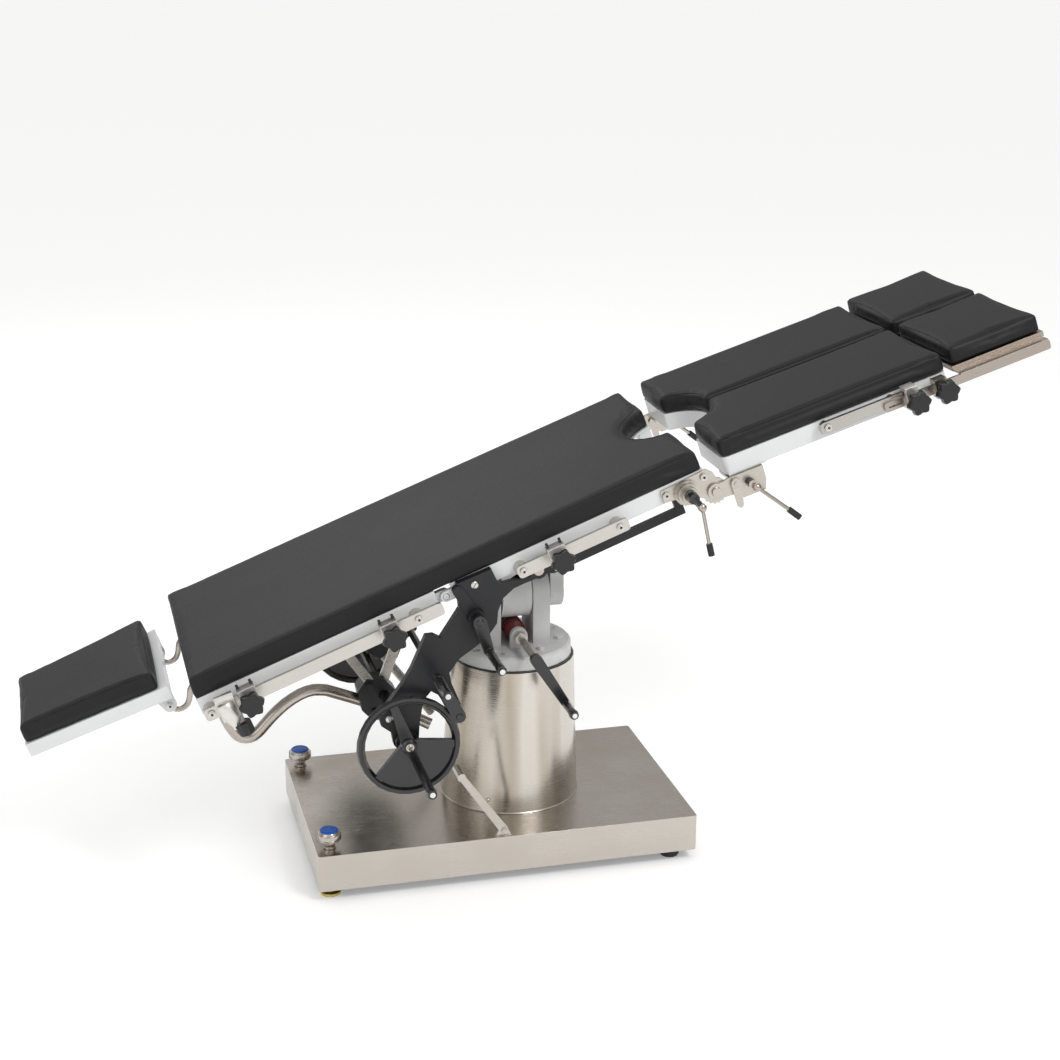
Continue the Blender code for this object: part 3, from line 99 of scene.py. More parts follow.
# Shader helpers
class Finish:
    """A principled material whose colour, roughness and relief come from procedural textures."""

    def __init__(self, name, colour, rough, metal=0.0, where=WORLD, **sockets):
        self.mat = bpy.data.materials.new(name)
        self.mat.use_nodes = True
        self.nt = self.mat.node_tree
        self.bsdf = self.nt.nodes['Principled BSDF']
        self.bsdf.inputs['Base Color'].default_value = (*colour, 1)
        self.bsdf.inputs['Roughness'].default_value = rough
        self.bsdf.inputs['Metallic'].default_value = metal
        for key, value in sockets.items():
            self.bsdf.inputs[key.replace('_', ' ')].default_value = value
        coord = self.nt.nodes.new('ShaderNodeTexCoord')
        turn = self.nt.nodes.new('ShaderNodeMapping')
        back = where.inverted()
        turn.inputs['Rotation'].default_value = back.to_euler()
        turn.inputs['Location'].default_value = back.to_translation()
        self.link(coord.outputs['Object'], turn.inputs['Vector'])
        self.place = turn.outputs['Vector']
        self.relief = None

    def link(self, a, b):
        self.nt.links.new(a, b)

    def put(self, kind, **values):
        n = self.nt.nodes.new(kind)
        for key, value in values.items():
            if hasattr(n, key):
                setattr(n, key, value)
            else:
                n.inputs[key.replace('_', ' ')].default_value = value
        return n

    def scaled(self, stretch):
        m = self.put('ShaderNodeMapping')
        m.inputs['Scale'].default_value = stretch
        self.link(self.place, m.inputs['Vector'])
        return m.outputs['Vector']

    def noise(self, stretch, scale=1.0, detail=3.0, rough=0.6):
        n = self.put('ShaderNodeTexNoise', Scale=scale, Detail=detail, Roughness=rough)
        self.link(self.scaled(stretch), n.inputs['Vector'])
        return n.outputs['Fac']

    def cells(self, stretch, feature='F1', random=1.0):
        n = self.put('ShaderNodeTexVoronoi', feature=feature, Scale=1.0, Randomness=random)
        self.link(self.scaled(stretch), n.inputs['Vector'])
        return n.outputs['Distance']

    def span(self, value, a, b, c, d):
        n = self.put('ShaderNodeMapRange')
        for key, v in (('From Min', a), ('From Max', b), ('To Min', c), ('To Max', d)):
            n.inputs[key].default_value = v
        self.link(value, n.inputs['Value'])
        return n.outputs['Result']

    def tint(self, value, low, high, a=0.3, b=0.7):
        ramp = self.put('ShaderNodeValToRGB')
        ramp.color_ramp.elements[0].position, ramp.color_ramp.elements[0].color = a, (*low, 1)
        ramp.color_ramp.elements[1].position, ramp.color_ramp.elements[1].color = b, (*high, 1)
        self.link(value, ramp.inputs['Fac'])
        return ramp.outputs['Color']

    def times(self, a, b, share=1.0):
        n = self.put('ShaderNodeMix', data_type='RGBA', blend_type='MULTIPLY')
        n.inputs[0].default_value = share
        self.link(a, n.inputs[6])
        self.link(b, n.inputs[7])
        return n.outputs[2]

    def colour_from(self, value):
        self.link(value, self.bsdf.inputs['Base Color'])

    def rough_from(self, value):
        self.link(value, self.bsdf.inputs['Roughness'])

    def bump(self, height, depth, strength=1.0):
        n = self.put('ShaderNodeBump', Strength=strength, Distance=depth)
        self.link(height, n.inputs['Height'])
        if self.relief is not None:
            self.link(self.relief, n.inputs['Normal'])
        self.relief = n.outputs['Normal']
        self.link(self.relief, self.bsdf.inputs['Normal'])


def shade(colour, k):
    return tuple(min(1.0, c * k) for c in colour)


def brushed(name, colour, rough, grain, where=WORLD, depth=0.00002, vary=0.10, smudge=0.06,
            reflection_bands=None):
    """Brushed metal: long scratches along one direction, faint cloudy marks, and wide darker bands of
    painted reflection if asked.
    """
    f = Finish(name, colour, rough, 1.0, where)
    lines = f.noise(grain, detail=2.0)
    fine = f.noise(tuple(3.1 * g for g in grain), detail=1.0)
    cloud = f.noise((7, 7, 7), detail=4.0)
    tone = f.times(f.tint(lines, shade(colour, 1 - vary), shade(colour, 1 + vary), 0.35, 0.65),
                   f.tint(cloud, shade((1, 0.985, 0.965), 1 - smudge), (1, 1, 1), 0.35, 0.65))
    if reflection_bands:
        # Wide darker bands from a stretched noise: painted reflections, not a feature of the steel.
        wide = f.tint(f.noise(reflection_bands, detail=2.0), (0.66, 0.61, 0.54), (1, 1, 1), 0.34, 0.56)
        tone = f.times(tone, wide)
    f.colour_from(tone)
    add = f.put('ShaderNodeMath', operation='ADD')
    f.link(f.span(lines, 0.3, 0.7, rough * 0.75, rough * 1.15), add.inputs[0])
    f.link(f.span(cloud, 0.3, 0.7, -0.03, 0.07), add.inputs[1])
    f.rough_from(add.outputs[0])
    f.bump(fine, depth, 0.35)
    return f.mat


def enamel(name, colour, rough, peel=0.00004, grime=0.05, coat=0.3):
    """Sprayed paint: slight orange peel, faint grime and rubbed spots."""
    f = Finish(name, colour, rough, Coat_Weight=coat, Coat_Roughness=0.12)
    cloud = f.noise((9, 9, 9), detail=5.0)
    skin = f.noise((260, 260, 260), detail=2.0)
    f.colour_from(f.tint(cloud, shade(colour, 1 - grime), shade(colour, 1 + grime * 0.4), 0.3, 0.62))
    f.rough_from(f.span(cloud, 0.3, 0.7, rough * 0.85, rough * 1.2))
    f.bump(skin, peel, 0.5)
    return f.mat


def casting(name, colour, rough, grain=0.00018):
    """Painted sand casting: coarse soft relief under the paint."""
    f = Finish(name, colour, rough, Coat_Weight=0.06, Coat_Roughness=0.3, Specular_IOR_Level=0.38)
    cloud = f.noise((14, 14, 14), detail=5.0)
    lumps = f.noise((330, 330, 330), detail=3.0)
    f.colour_from(f.tint(cloud, shade(colour, 0.88), shade(colour, 1.1), 0.32, 0.66))
    f.rough_from(f.span(lumps, 0.3, 0.7, rough * 0.8, rough * 1.25))
    f.bump(lumps, grain, 0.6)
    f.bump(f.noise((60, 60, 60), detail=2.0), grain * 3, 0.5)
    return f.mat


def moulded(name, colour, rough, **more):
    """Moulded plastic with a light spark-eroded texture and scuffs."""
    f = Finish(name, colour, rough, **more)
    scuff = f.noise((40, 40, 40), detail=6.0, rough=0.75)
    grain = f.noise((900, 900, 900), detail=1.0)
    f.colour_from(f.tint(scuff, shade(colour, 0.9), shade(colour, 1.35), 0.4, 0.75))
    f.rough_from(f.span(scuff, 0.3, 0.75, rough * 0.85, rough * 1.35))
    f.bump(grain, 0.00003, 0.5)
    return f.mat


def leatherette(name, where=TABLE):
    """Charcoal coated fabric: pebbled grain, soft folds, a little sheen."""
    base = (0.0078, 0.0080, 0.0092)
    f = Finish(name, base, 0.47, 0.0, where, Sheen_Weight=0.02, Sheen_Roughness=0.4,
               Specular_IOR_Level=0.30)
    wide = f.noise((3.2, 4.0, 6.0), detail=3.0)
    mid = f.noise((26, 26, 26), detail=4.0)
    pebble = f.cells((620, 620, 620))
    pores = f.noise((1500, 1500, 1500), detail=1.0)
    colour = f.tint(wide, shade(base, 0.86), shade(base, 1.22), 0.32, 0.68)
    colour = f.times(colour, f.tint(pebble, (1.0, 1.0, 1.0), (0.80, 0.80, 0.82), 0.25, 0.8))
    f.colour_from(f.times(colour, f.tint(mid, (0.93, 0.93, 0.93), (1.0, 1.0, 1.0), 0.35, 0.6)))
    add = f.put('ShaderNodeMath', operation='ADD')
    f.link(f.span(wide, 0.3, 0.7, 0.45, 0.49), add.inputs[0])
    f.link(f.span(pebble, 0.1, 0.8, -0.03, 0.07), add.inputs[1])
    f.rough_from(add.outputs[0])
    f.bump(pebble, -0.00010, 0.55)
    f.bump(pores, 0.00003, 0.4)
    f.bump(mid, 0.0004, 0.2)
    return f.mat


STEEL = (0.61, 0.585, 0.55)
M = {
    'base': brushed('base_steel', (0.555, 0.52, 0.475), 0.23, (16, 1600, 1600),
                    depth=0.000012, vary=0.022, smudge=0.045),
    # The column's wide vertical bands are painted reflections.
    'column': brushed('column_steel', (0.62, 0.59, 0.545), 0.25, (7, 7, 1500),
                      depth=0.000005, vary=0.012, smudge=0.03, reflection_bands=(13, 13, 0.5)),
    'rail': brushed('rail_steel', shade(STEEL, 0.95), 0.34, (18, 900, 900), TABLE, 0.00001, 0.04),
    'leg_rail': brushed('leg_rail_steel', shade(STEEL, 0.80), 0.34, (18, 900, 900), LEG, 0.00001, 0.04),
    'foot_bar': brushed('foot_bar_steel', (0.42, 0.375, 0.335), 0.30, (18, 900, 900), LEG,
                        0.000003, 0.008, 0.02),
    'plate': brushed('plate_steel', (0.53, 0.50, 0.455), 0.31, (60, 60, 420), TABLE, 0.00001, 0.07),
    'clamp': brushed('clamp_steel', (0.72, 0.70, 0.67), 0.46, (300, 300, 300), TABLE,
                     0.00002, 0.04, 0.04),
    'cast_steel': brushed('cast_steel', (0.66, 0.64, 0.61), 0.32, (150, 150, 150), TABLE, 0.00008, 0.08),
    'bar': brushed('round_bar_steel', (0.46, 0.415, 0.375), 0.25, (700, 700, 700), TABLE,
                   0.000004, 0.04, 0.03),
    'chrome': brushed('chrome_plate', (0.50, 0.47, 0.43), 0.22, (400, 400, 400), WORLD,
                      0.000005, 0.04, 0.04),
    'thread': brushed('screw_steel', (0.48, 0.46, 0.44), 0.35, (200, 200, 200), TABLE, 0.00003, 0.12),
    'zinc': brushed('zinc_plate', (0.66, 0.53, 0.20), 0.34, (90, 90, 90), WORLD, 0.00003, 0.15),
    'white': enamel('white_enamel', (0.64, 0.65, 0.65), 0.36, grime=0.03),
    'grey': casting('light_grey_casting', (0.55, 0.55, 0.54), 0.46),
    'dark': casting('dark_casting', (0.0085, 0.0088, 0.0105), 0.40, 0.0001),
    'black': enamel('black_enamel', (0.007, 0.007, 0.008), 0.24, peel=0.00002, coat=0.35),
    'knob': moulded('black_phenolic', (0.009, 0.009, 0.010), 0.30, Specular_IOR_Level=0.45),
    'rubber': moulded('black_rubber', (0.012, 0.012, 0.013), 0.55),
    'chassis': enamel('chassis_paint', (0.055, 0.055, 0.06), 0.5),
    'red': casting('worm_red', (0.135, 0.012, 0.014), 0.42),
    'blue': moulded('blue_cap', (0.008, 0.085, 0.40), 0.33, Specular_IOR_Level=0.4),
    'ivory': moulded('white_cap', (0.72, 0.72, 0.70), 0.35),
    # Dark matte paint for sockets, slots and the clamps' holes: painted shade in place of depth.
    'pit': enamel('painted_socket_shade', (0.02, 0.019, 0.018), 0.6, coat=0.0),
    'pad': leatherette('leatherette'),
    'pad_leg': leatherette('leatherette_leg', LEG),
    # Welts are real sewn piping, but their colour, lighter than the pad, is a painted highlight of the
    # pads' top edges.
    'welt_highlight': moulded('welt_highlight', (0.022, 0.022, 0.025), 0.36, Specular_IOR_Level=0.5),
}


# CAD nodes keep their mesh: materials by region, edges eased by modifiers
def dress(name, keys, pick=None, where=TABLE, edge=0.0008, round_to=38):
    """Give a node its finishes; pick tells which one a face gets from its middle in the frame where."""
    o = NODES[name]
    mesh = o.data
    mesh.materials.clear()
    for key in (keys if isinstance(keys, tuple) else (keys,)):
        mesh.materials.append(M[key])
    back = where.inverted()
    for poly in mesh.polygons:
        poly.use_smooth = True
        poly.material_index = pick(back @ poly.center) if pick else 0
    if mesh.attributes.get('custom_normal'):
        mesh.attributes.remove(mesh.attributes['custom_normal'])
    weld = o.modifiers.new('weld', 'WELD')
    weld.merge_threshold = 0.000004
    flat = o.modifiers.new('flat', 'DECIMATE')
    flat.decimate_type = 'DISSOLVE'
    flat.angle_limit = radians(0.6)
    flat.delimit = {'MATERIAL'}
    soft = o.modifiers.new('edge', 'BEVEL')
    soft.width = edge
    soft.segments = 2
    soft.limit_method = 'ANGLE'
    soft.angle_limit = radians(round_to)
    soft.harden_normals = True
    soft.use_clamp_overlap = True
    soft.miter_outer = 'MITER_ARC'


dress('base_cover', 'base', where=WORLD, edge=0.0012)
dress('column_cover', 'column', where=WORLD, edge=0.0005)
dress('column_guide', 'black', where=WORLD)
dress('chassis_plate', ('chassis', 'rubber'), lambda p: int(p.z < -0.001), WORLD)
dress('column_head', 'grey', where=WORLD, edge=0.0016)
dress('saddle', ('grey', 'bar'), lambda p: int(hypot(p.x, p.z) < 0.0155 and abs(p.y) > 0.0785),
      TABLE, 0.0016)
dress('pump_pedal', 'plate', where=WORLD)
for side, s in SIDES:
    dress('jack_screw_' + side, 'chrome', where=WORLD, edge=0.0006)
    dress('jack_foot_' + side, 'zinc', where=WORLD)
    dress('hinge_plate_' + side, 'plate')
    dress('leg_bracket_' + side, 'plate', where=LEG)
    dress('leg_frame_' + side, ('white', 'leg_rail'), lambda p: int(abs(p.y) > 0.2403), LEG, 0.0014)
    dress('leg_clamp_' + side, 'clamp', where=LEG)
    dress('ratchet_pawl_' + side, 'plate', where=LEG)
    dress('hub_lever_' + side, ('bar', 'rubber', 'black'),
          lambda p: 1 if p.z < -0.0715 else (2 if p.z > 0.0045 else 0), TABLE, 0.0005)
    dress('swing_lever_' + side, ('bar', 'rubber', 'black'),
          lambda p: 1 if (p.x > 0.1095 and p.z < -0.0665) else (2 if abs(p.y) < 0.2605 else 0),
          LEG, 0.0005)
    dress('foot_plate_' + side, 'foot_bar', where=LEG)
    dress('rail_knob_' + side, 'knob', where=LEG, edge=0.0018)
    dress('foot_knob_' + side, 'knob', where=LEG, edge=0.0018)
    dress('casting_' + side, 'dark', edge=0.0018)
dress('tilt_crank', ('black', 'red', 'cast_steel', 'bar'),
      lambda p: 1 if p.y > -0.040 else (2 if -0.080 < p.y < -0.066 else (3 if p.y > -0.150 else 0)),
      WORLD, 0.0006)
dress('seat_frame', ('white', 'rail'), lambda p: int(abs(p.y) > 0.2339), edge=0.0012)
dress('back_frame', ('white', 'rail'), lambda p: int(abs(p.y) > 0.2339), edge=0.0012)
dress('head_frame', 'white', edge=0.0014)
dress('shaft_hanger', ('dark', 'plate'), lambda p: int(p.z > -0.150), edge=0.001)
dress('rest_tube', ('bar', 'black'), lambda p: int(p.z > -0.0245 and p.x < -0.6), edge=0.0005)
dress('head_rods', 'bar', edge=0.0004)
dress('handwheels', 'black', edge=0.0009)
dress('crank_a', 'black', edge=0.001)
dress('crank_b', 'black', edge=0.001)
dress('back_gearbox', 'dark', edge=0.0014)
dress('back_screw', 'thread', edge=0.0006)
dress('socket_clamp', ('clamp', 'knob'), lambda p: int(p.z < -0.0102 and p.x > -0.6075), edge=0.0009)
for k in (1, 2, 3):
    # The faces above 0.0395 in the table's frame, round each clamp's socket, carry painted shade.
    dress('rail_clamp_%d' % k, ('clamp', 'pit'), lambda p: int(p.z > 0.0395), edge=0.0012)
    dress('clamp_knob_%d' % k, 'knob', edge=0.0018)


# Small pieces
def piece(name, verts, faces, key, body, where=TABLE, smooth=32):
    """One small piece that rides on a body; edges sharper than smooth degrees stay sharp."""
    bm = bmesh.new()
    made = [bm.verts.new(where @ Vector(v)) for v in verts]
    for f in faces:
        bm.faces.new([made[k] for k in f])
    bmesh.ops.recalc_face_normals(bm, faces=bm.faces[:])
    for f in bm.faces:
        f.smooth = True
    for e in bm.edges:
        e.smooth = len(e.link_faces) == 2 and e.calc_face_angle(0) < radians(smooth)
    mesh = bpy.data.meshes.new(name)
    bm.to_mesh(mesh)
    bm.free()
    mesh.materials.append(M[key])
    ob = bpy.data.objects.new(name, mesh)
    bpy.context.scene.collection.objects.link(ob)
    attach(ob, body)
    return ob


def turn(origin, direction, profile, n=24, wave=None):
    """Lathe of (distance, radius) pairs; wave varies the radius round the axis."""
    o, w = Vector(origin), Vector(direction).normalized()
    a = Vector((0, 0, 1)) if abs(w.z) < 0.9 else Vector((1, 0, 0))
    u = a.cross(w).normalized()
    v = w.cross(u)
    verts, faces = [], []
    for d, r in profile:
        for i in range(n):
            q = r * (wave(i / n) if wave else 1.0)
            verts.append(o + w * d + (u * cos(2 * pi * i / n) + v * sin(2 * pi * i / n)) * q)
    for k in range(len(profile) - 1):
        for i in range(n):
            j = (i + 1) % n
            faces.append((k * n + i, k * n + j, (k + 1) * n + j, (k + 1) * n + i))
    last = (len(profile) - 1) * n
    faces += [tuple(range(n)), tuple(range(last, last + n))]
    return verts, faces


def merged(*solids):
    """Several closed forms as one list of vertices and faces."""
    verts, faces = [], []
    for v, f in solids:
        faces += [tuple(len(verts) + k for k in face) for face in f]
        verts += list(v)
    return verts, faces


def tube(points, r, n=10, closed=False):
    """Round section swept along points."""
    pts = [Vector(p) for p in points]
    m = len(pts)
    verts, faces = [], []
    u = None
    for i, p in enumerate(pts):
        a = pts[i - 1] if (closed or i > 0) else p
        b = pts[(i + 1) % m] if (closed or i < m - 1) else p
        w = (b - a).normalized()
        if u is None:
            u = (Vector((0, 0, 1)) if abs(w.z) < 0.9 else Vector((1, 0, 0))).cross(w).normalized()
        u = (u - w * u.dot(w)).normalized()
        v = w.cross(u)
        verts += [p + (u * cos(2 * pi * k / n) + v * sin(2 * pi * k / n)) * r for k in range(n)]
    for i in range(m if closed else m - 1):
        j = (i + 1) % m
        for k in range(n):
            q = (k + 1) % n
            faces.append((i * n + k, i * n + q, j * n + q, j * n + k))
    if not closed:
        faces += [tuple(range(n)), tuple(range((m - 1) * n, m * n))]
    return verts, faces


def cap_screw(name, at, s, body, where, r=0.0062):
    """Socket head on a washer; the axis is sideways, s is the side it faces."""
    head = turn(at, (0, s, 0), [(0, r * 1.02), (0.0006, r * 1.10), (0.0012, r * 1.06), (0.0014, r * 0.8),
                                (0.0026, r * 0.78), (0.0032, r * 0.70), (0.0032, r * 0.46),
                                (0.0016, r * 0.44)], 28)
    piece(name, *head, 'cast_steel', body, where)
    # The hex socket is a dark six-sided disc on the head: painted shade standing in for a deep hole.
    socket = turn(at, (0, s, 0), [(0.0008, r * 0.44), (0.0017, r * 0.42)], 6)
    piece(name + '_socket', *socket, 'pit', body, where)


def grip_end(name, at, s, body, where=TABLE, r=0.0050):
    """White cap in the end of a grip."""
    cap = turn(at, (0, s, 0), [(0, r), (0.0010, r), (0.0018, 0.0040), (0.0021, 0.0020)])
    piece(name, *cap, 'ivory', body, where)


def knurling(share):
    """Radius factor that goes up and down round a knurled head."""
    return 1.0 + KNURL_DEPTH * (1 if round(share * KNURL_STEPS) % 2 else -1)


for side, s in SIDES:
    for k, t in enumerate((-0.0275, 0.166)):
        cap_screw('seat_rail_screw_%s_%d' % (side, k), (t, s * SCREW_SEAT, 0.0165), s, 'seat', TABLE)
    for k, t in enumerate((-0.636, -0.235)):
        cap_screw('back_rail_screw_%s_%d' % (side, k), (t, s * SCREW_SEAT, 0.0165), s, 'back', TABLE)
    cap_screw('leg_rail_screw_' + side, (0.232, s * SCREW_SEAT, 0.044), s, 'leg_' + side, LEG)
    for k, (t, h) in enumerate(((0.270, 0.026), (0.347, 0.029))):
        cap_screw('hinge_screw_%s_%d' % (side, k), (t, s * HINGE_SEAT, h), s, 'seat', TABLE)
    cap_screw('head_pivot_screw_' + side, (-0.706, s * HEAD_SEAT, 0.014), s, 'head', TABLE, 0.0058)

    # Knurled head and blue cap of the jacking screw
    knurl = turn((JACK_T, s * JACK_Y, JACK_Z + 0.0185), (0, 0, 1),
                 [(0, 0.0214), (0.0010, 0.0222), (0.0118, 0.0222), (0.0128, 0.0214)],
                 KNURL_STEPS, knurling)
    piece('jack_knurl_' + side, *knurl, 'chrome', 'jack_screw_' + side, WORLD, 50)
    cap = turn((JACK_T, s * JACK_Y, JACK_Z + 0.0348), (0, 0, 1),
               [(0, 0.0172), (0.0016, 0.0174), (0.0026, 0.0160), (0.0030, 0.0130), (0.0024, 0.0124),
                (0.0024, 0.0085), (0.0031, 0.0078), (0.0033, 0.0030)], 48)
    ribs = []
    for k in range(CAP_RIBS):
        a = 2 * pi * k / CAP_RIBS
        ribs.append(turn((JACK_T + 0.0147 * cos(a), s * JACK_Y + 0.0147 * sin(a), JACK_Z + 0.0370),
                         (0, 0, 1), [(0, 0.0010), (0.0008, 0.0008), (0.0011, 0.0004)], 8))
    piece('jack_cap_' + side, *merged(cap, *ribs), 'blue', 'jack_screw_' + side, WORLD)

    # Hub bolt, grip end and rim bead of the handwheel
    bolt = turn((WHEEL_T, s * 0.2880, WHEEL_H), (0, s, 0),
                [(0, 0.0072), (0.0008, 0.0076), (0.0012, 0.0055), (0.0032, 0.0052), (0.0040, 0.0040)])
    piece('wheel_bolt_' + side, *bolt, 'chrome', 'handwheels')
    grip_end('wheel_grip_end_' + side, (WHEEL_T, s * 0.4232, GRIP_H), s, 'handwheels')
    bead = [(WHEEL_T + WHEEL_LINE * cos(2 * pi * k / 72), s * 0.2836,
             WHEEL_H + WHEEL_LINE * sin(2 * pi * k / 72)) for k in range(72)]
    piece('wheel_rim_line_' + side, *tube(bead, 0.0016, 8, True), 'black', 'handwheels')

grip_end('crank_a_end', (-0.143, -0.3862, -0.089), -1, 'crank_a')
grip_end('crank_b_end', (-0.248, -0.3907, -0.086), -1, 'crank_b')
grip_end('tilt_crank_end', (0.060, -0.2558, 0.320), -1, 'tilt_crank', WORLD, 0.0048)

# Slotted screws of the near casting
BOX_FACES = [(0, 1, 3, 2), (4, 6, 7, 5), (0, 4, 5, 1), (2, 3, 7, 6), (0, 2, 6, 4), (1, 5, 7, 3)]
SLOT_LONG, SLOT_WIDE = 0.0048, 0.0006       # half length and half width
for k, (t, h) in enumerate(((-0.118, 0.027), (-0.356, -0.143))):
    head = turn((t, -CASTING_FACE, h), (0, -1, 0),
                [(0, 0.0066), (0.0016, 0.0066), (0.0026, 0.0052), (0.0028, 0.0030)], 28)
    piece('casting_screw_%d' % k, *head, 'cast_steel', 'seat')
    # The slot is a thin dark box set on the head: painted shade in place of a cut groove.
    a = 0.6 + k
    slot = []
    for q in (-SLOT_LONG, SLOT_LONG):
        for w in (-SLOT_WIDE, SLOT_WIDE):
            for y in (-0.25245, -0.25290):
                slot.append((t + q * cos(a) - w * sin(a), y, h + q * sin(a) + w * cos(a)))
    piece('casting_screw_slot_%d' % k, slot, BOX_FACES, 'pit', 'seat')
column_screw = turn((-0.0735, -0.1150, 0.098), (-0.53, -0.85, 0.0),
                    [(0, 0.0045), (0.0016, 0.0046), (0.0028, 0.0036), (0.0031, 0.0016)])
piece('column_screw', *column_screw, 'chrome', 'base', WORLD)

# Thread of the lifting screw
across = Vector((0, 1, 0))
other = SCREW_AXIS.cross(across)
for label, lo, hi in (('upper', 0.0215, 0.168), ('lower', -0.188, -0.0215)):
    turns = (hi - lo) / SCREW_PITCH
    steps = int(turns * 12)
    path = []
    for k in range(steps + 1):
        a = 2 * pi * turns * k / steps
        path.append(NUT + SCREW_AXIS * (lo + (hi - lo) * k / steps)
                    + (across * cos(a) + other * sin(a)) * THREAD_RADIUS)
    piece('screw_thread_' + label, *tube(path, 0.0011, 5), 'thread', 'back_screw')


# Padded top
def inset_ring(loop, by):
    """Loop moved inwards along its corner normals; the loop runs anticlockwise."""
    n = len(loop)
    out = []
    for i, p in enumerate(loop):
        a, b = loop[i - 1], loop[(i + 1) % n]
        e0 = Vector((p[0] - a[0], p[1] - a[1])).normalized()
        e1 = Vector((b[0] - p[0], b[1] - p[1])).normalized()
        n0, n1 = Vector((-e0.y, e0.x)), Vector((-e1.y, e1.x))
        m = (n0 + n1)
        m = m / max(0.35, m.dot(n0)) if m.length > 1e-6 else n0
        out.append((p[0] + m.x * by, p[1] + m.y * by))
    return out


def area_of(loop):
    """Signed area: positive when the loop runs anticlockwise."""
    return 0.5 * sum(a[0] * b[1] - b[0] * a[1] for a, b in zip(loop, loop[1:] + loop[:1]))


def dense(loop, step):
    """Loop with points about every step along its edges."""
    out = []
    for i, p in enumerate(loop):
        q = loop[(i + 1) % len(loop)]
        m = max(1, int(round(hypot(q[0] - p[0], q[1] - p[1]) / step)))
        out += [(p[0] + (q[0] - p[0]) * k / m, p[1] + (q[1] - p[1]) * k / m) for k in range(m)]
    return out


def link_mesh(name, bm):
    """New object in the scene from a bmesh, which is freed."""
    mesh = bpy.data.meshes.new(name)
    bm.to_mesh(mesh)
    bm.free()
    ob = bpy.data.objects.new(name, mesh)
    bpy.context.scene.collection.objects.link(ob)
    return ob


def apply_all(ob):
    """Replace the object's mesh by what its modifiers make of it."""
    seen = ob.evaluated_get(bpy.context.evaluated_depsgraph_get())
    mesh = bpy.data.meshes.new_from_object(seen)
    old_mesh = ob.data
    ob.modifiers.clear()
    ob.data = mesh
    bpy.data.meshes.remove(old_mesh)


def inflate(ob, floor_z, cap, frames=16, pressure=2.5):
    """Short cloth run under inner pressure; the face that rests on the tray stays put."""
    mesh = ob.data
    group = ob.vertex_groups.new(name='rest')
    start = [v.co.copy() for v in mesh.vertices]
    group.add([v.index for v in mesh.vertices if v.co.z < floor_z + 0.004], 1.0, 'REPLACE')
    cloth = ob.modifiers.new('cloth', 'CLOTH')
    cs = cloth.settings
    cs.quality = 4
    cs.mass = 0.25
    cs.tension_stiffness = cs.compression_stiffness = 12
    cs.shear_stiffness = 8
    cs.bending_stiffness = 0.8
    cs.use_pressure = True
    cs.uniform_pressure_force = pressure
    cs.vertex_group_mass = 'rest'
    cs.effector_weights.gravity = 0.0
    cloth.collision_settings.use_collision = False
    scene = bpy.context.scene
    for f in range(1, frames + 1):
        scene.frame_set(f)
    apply_all(ob)
    scene.frame_set(1)
    for v, p in zip(ob.data.vertices, start):
        d = v.co - p
        if d.length > cap:
            v.co = p + d * (cap / d.length)
    ob.vertex_groups.clear()


def edge_distance(loop):
    """Function that gives a point's distance from the loop."""
    seg = [(Vector(a), Vector(b)) for a, b in zip(loop, loop[1:] + loop[:1])]

    def dist(x, y):
        p, best = Vector((x, y)), 1.0
        for a, b in seg:
            d = b - a
            k = max(0.0, min(1.0, (p - a).dot(d) / max(d.length_squared, 1e-12)))
            best = min(best, (p - a - d * k).length)
        return best
    return dist


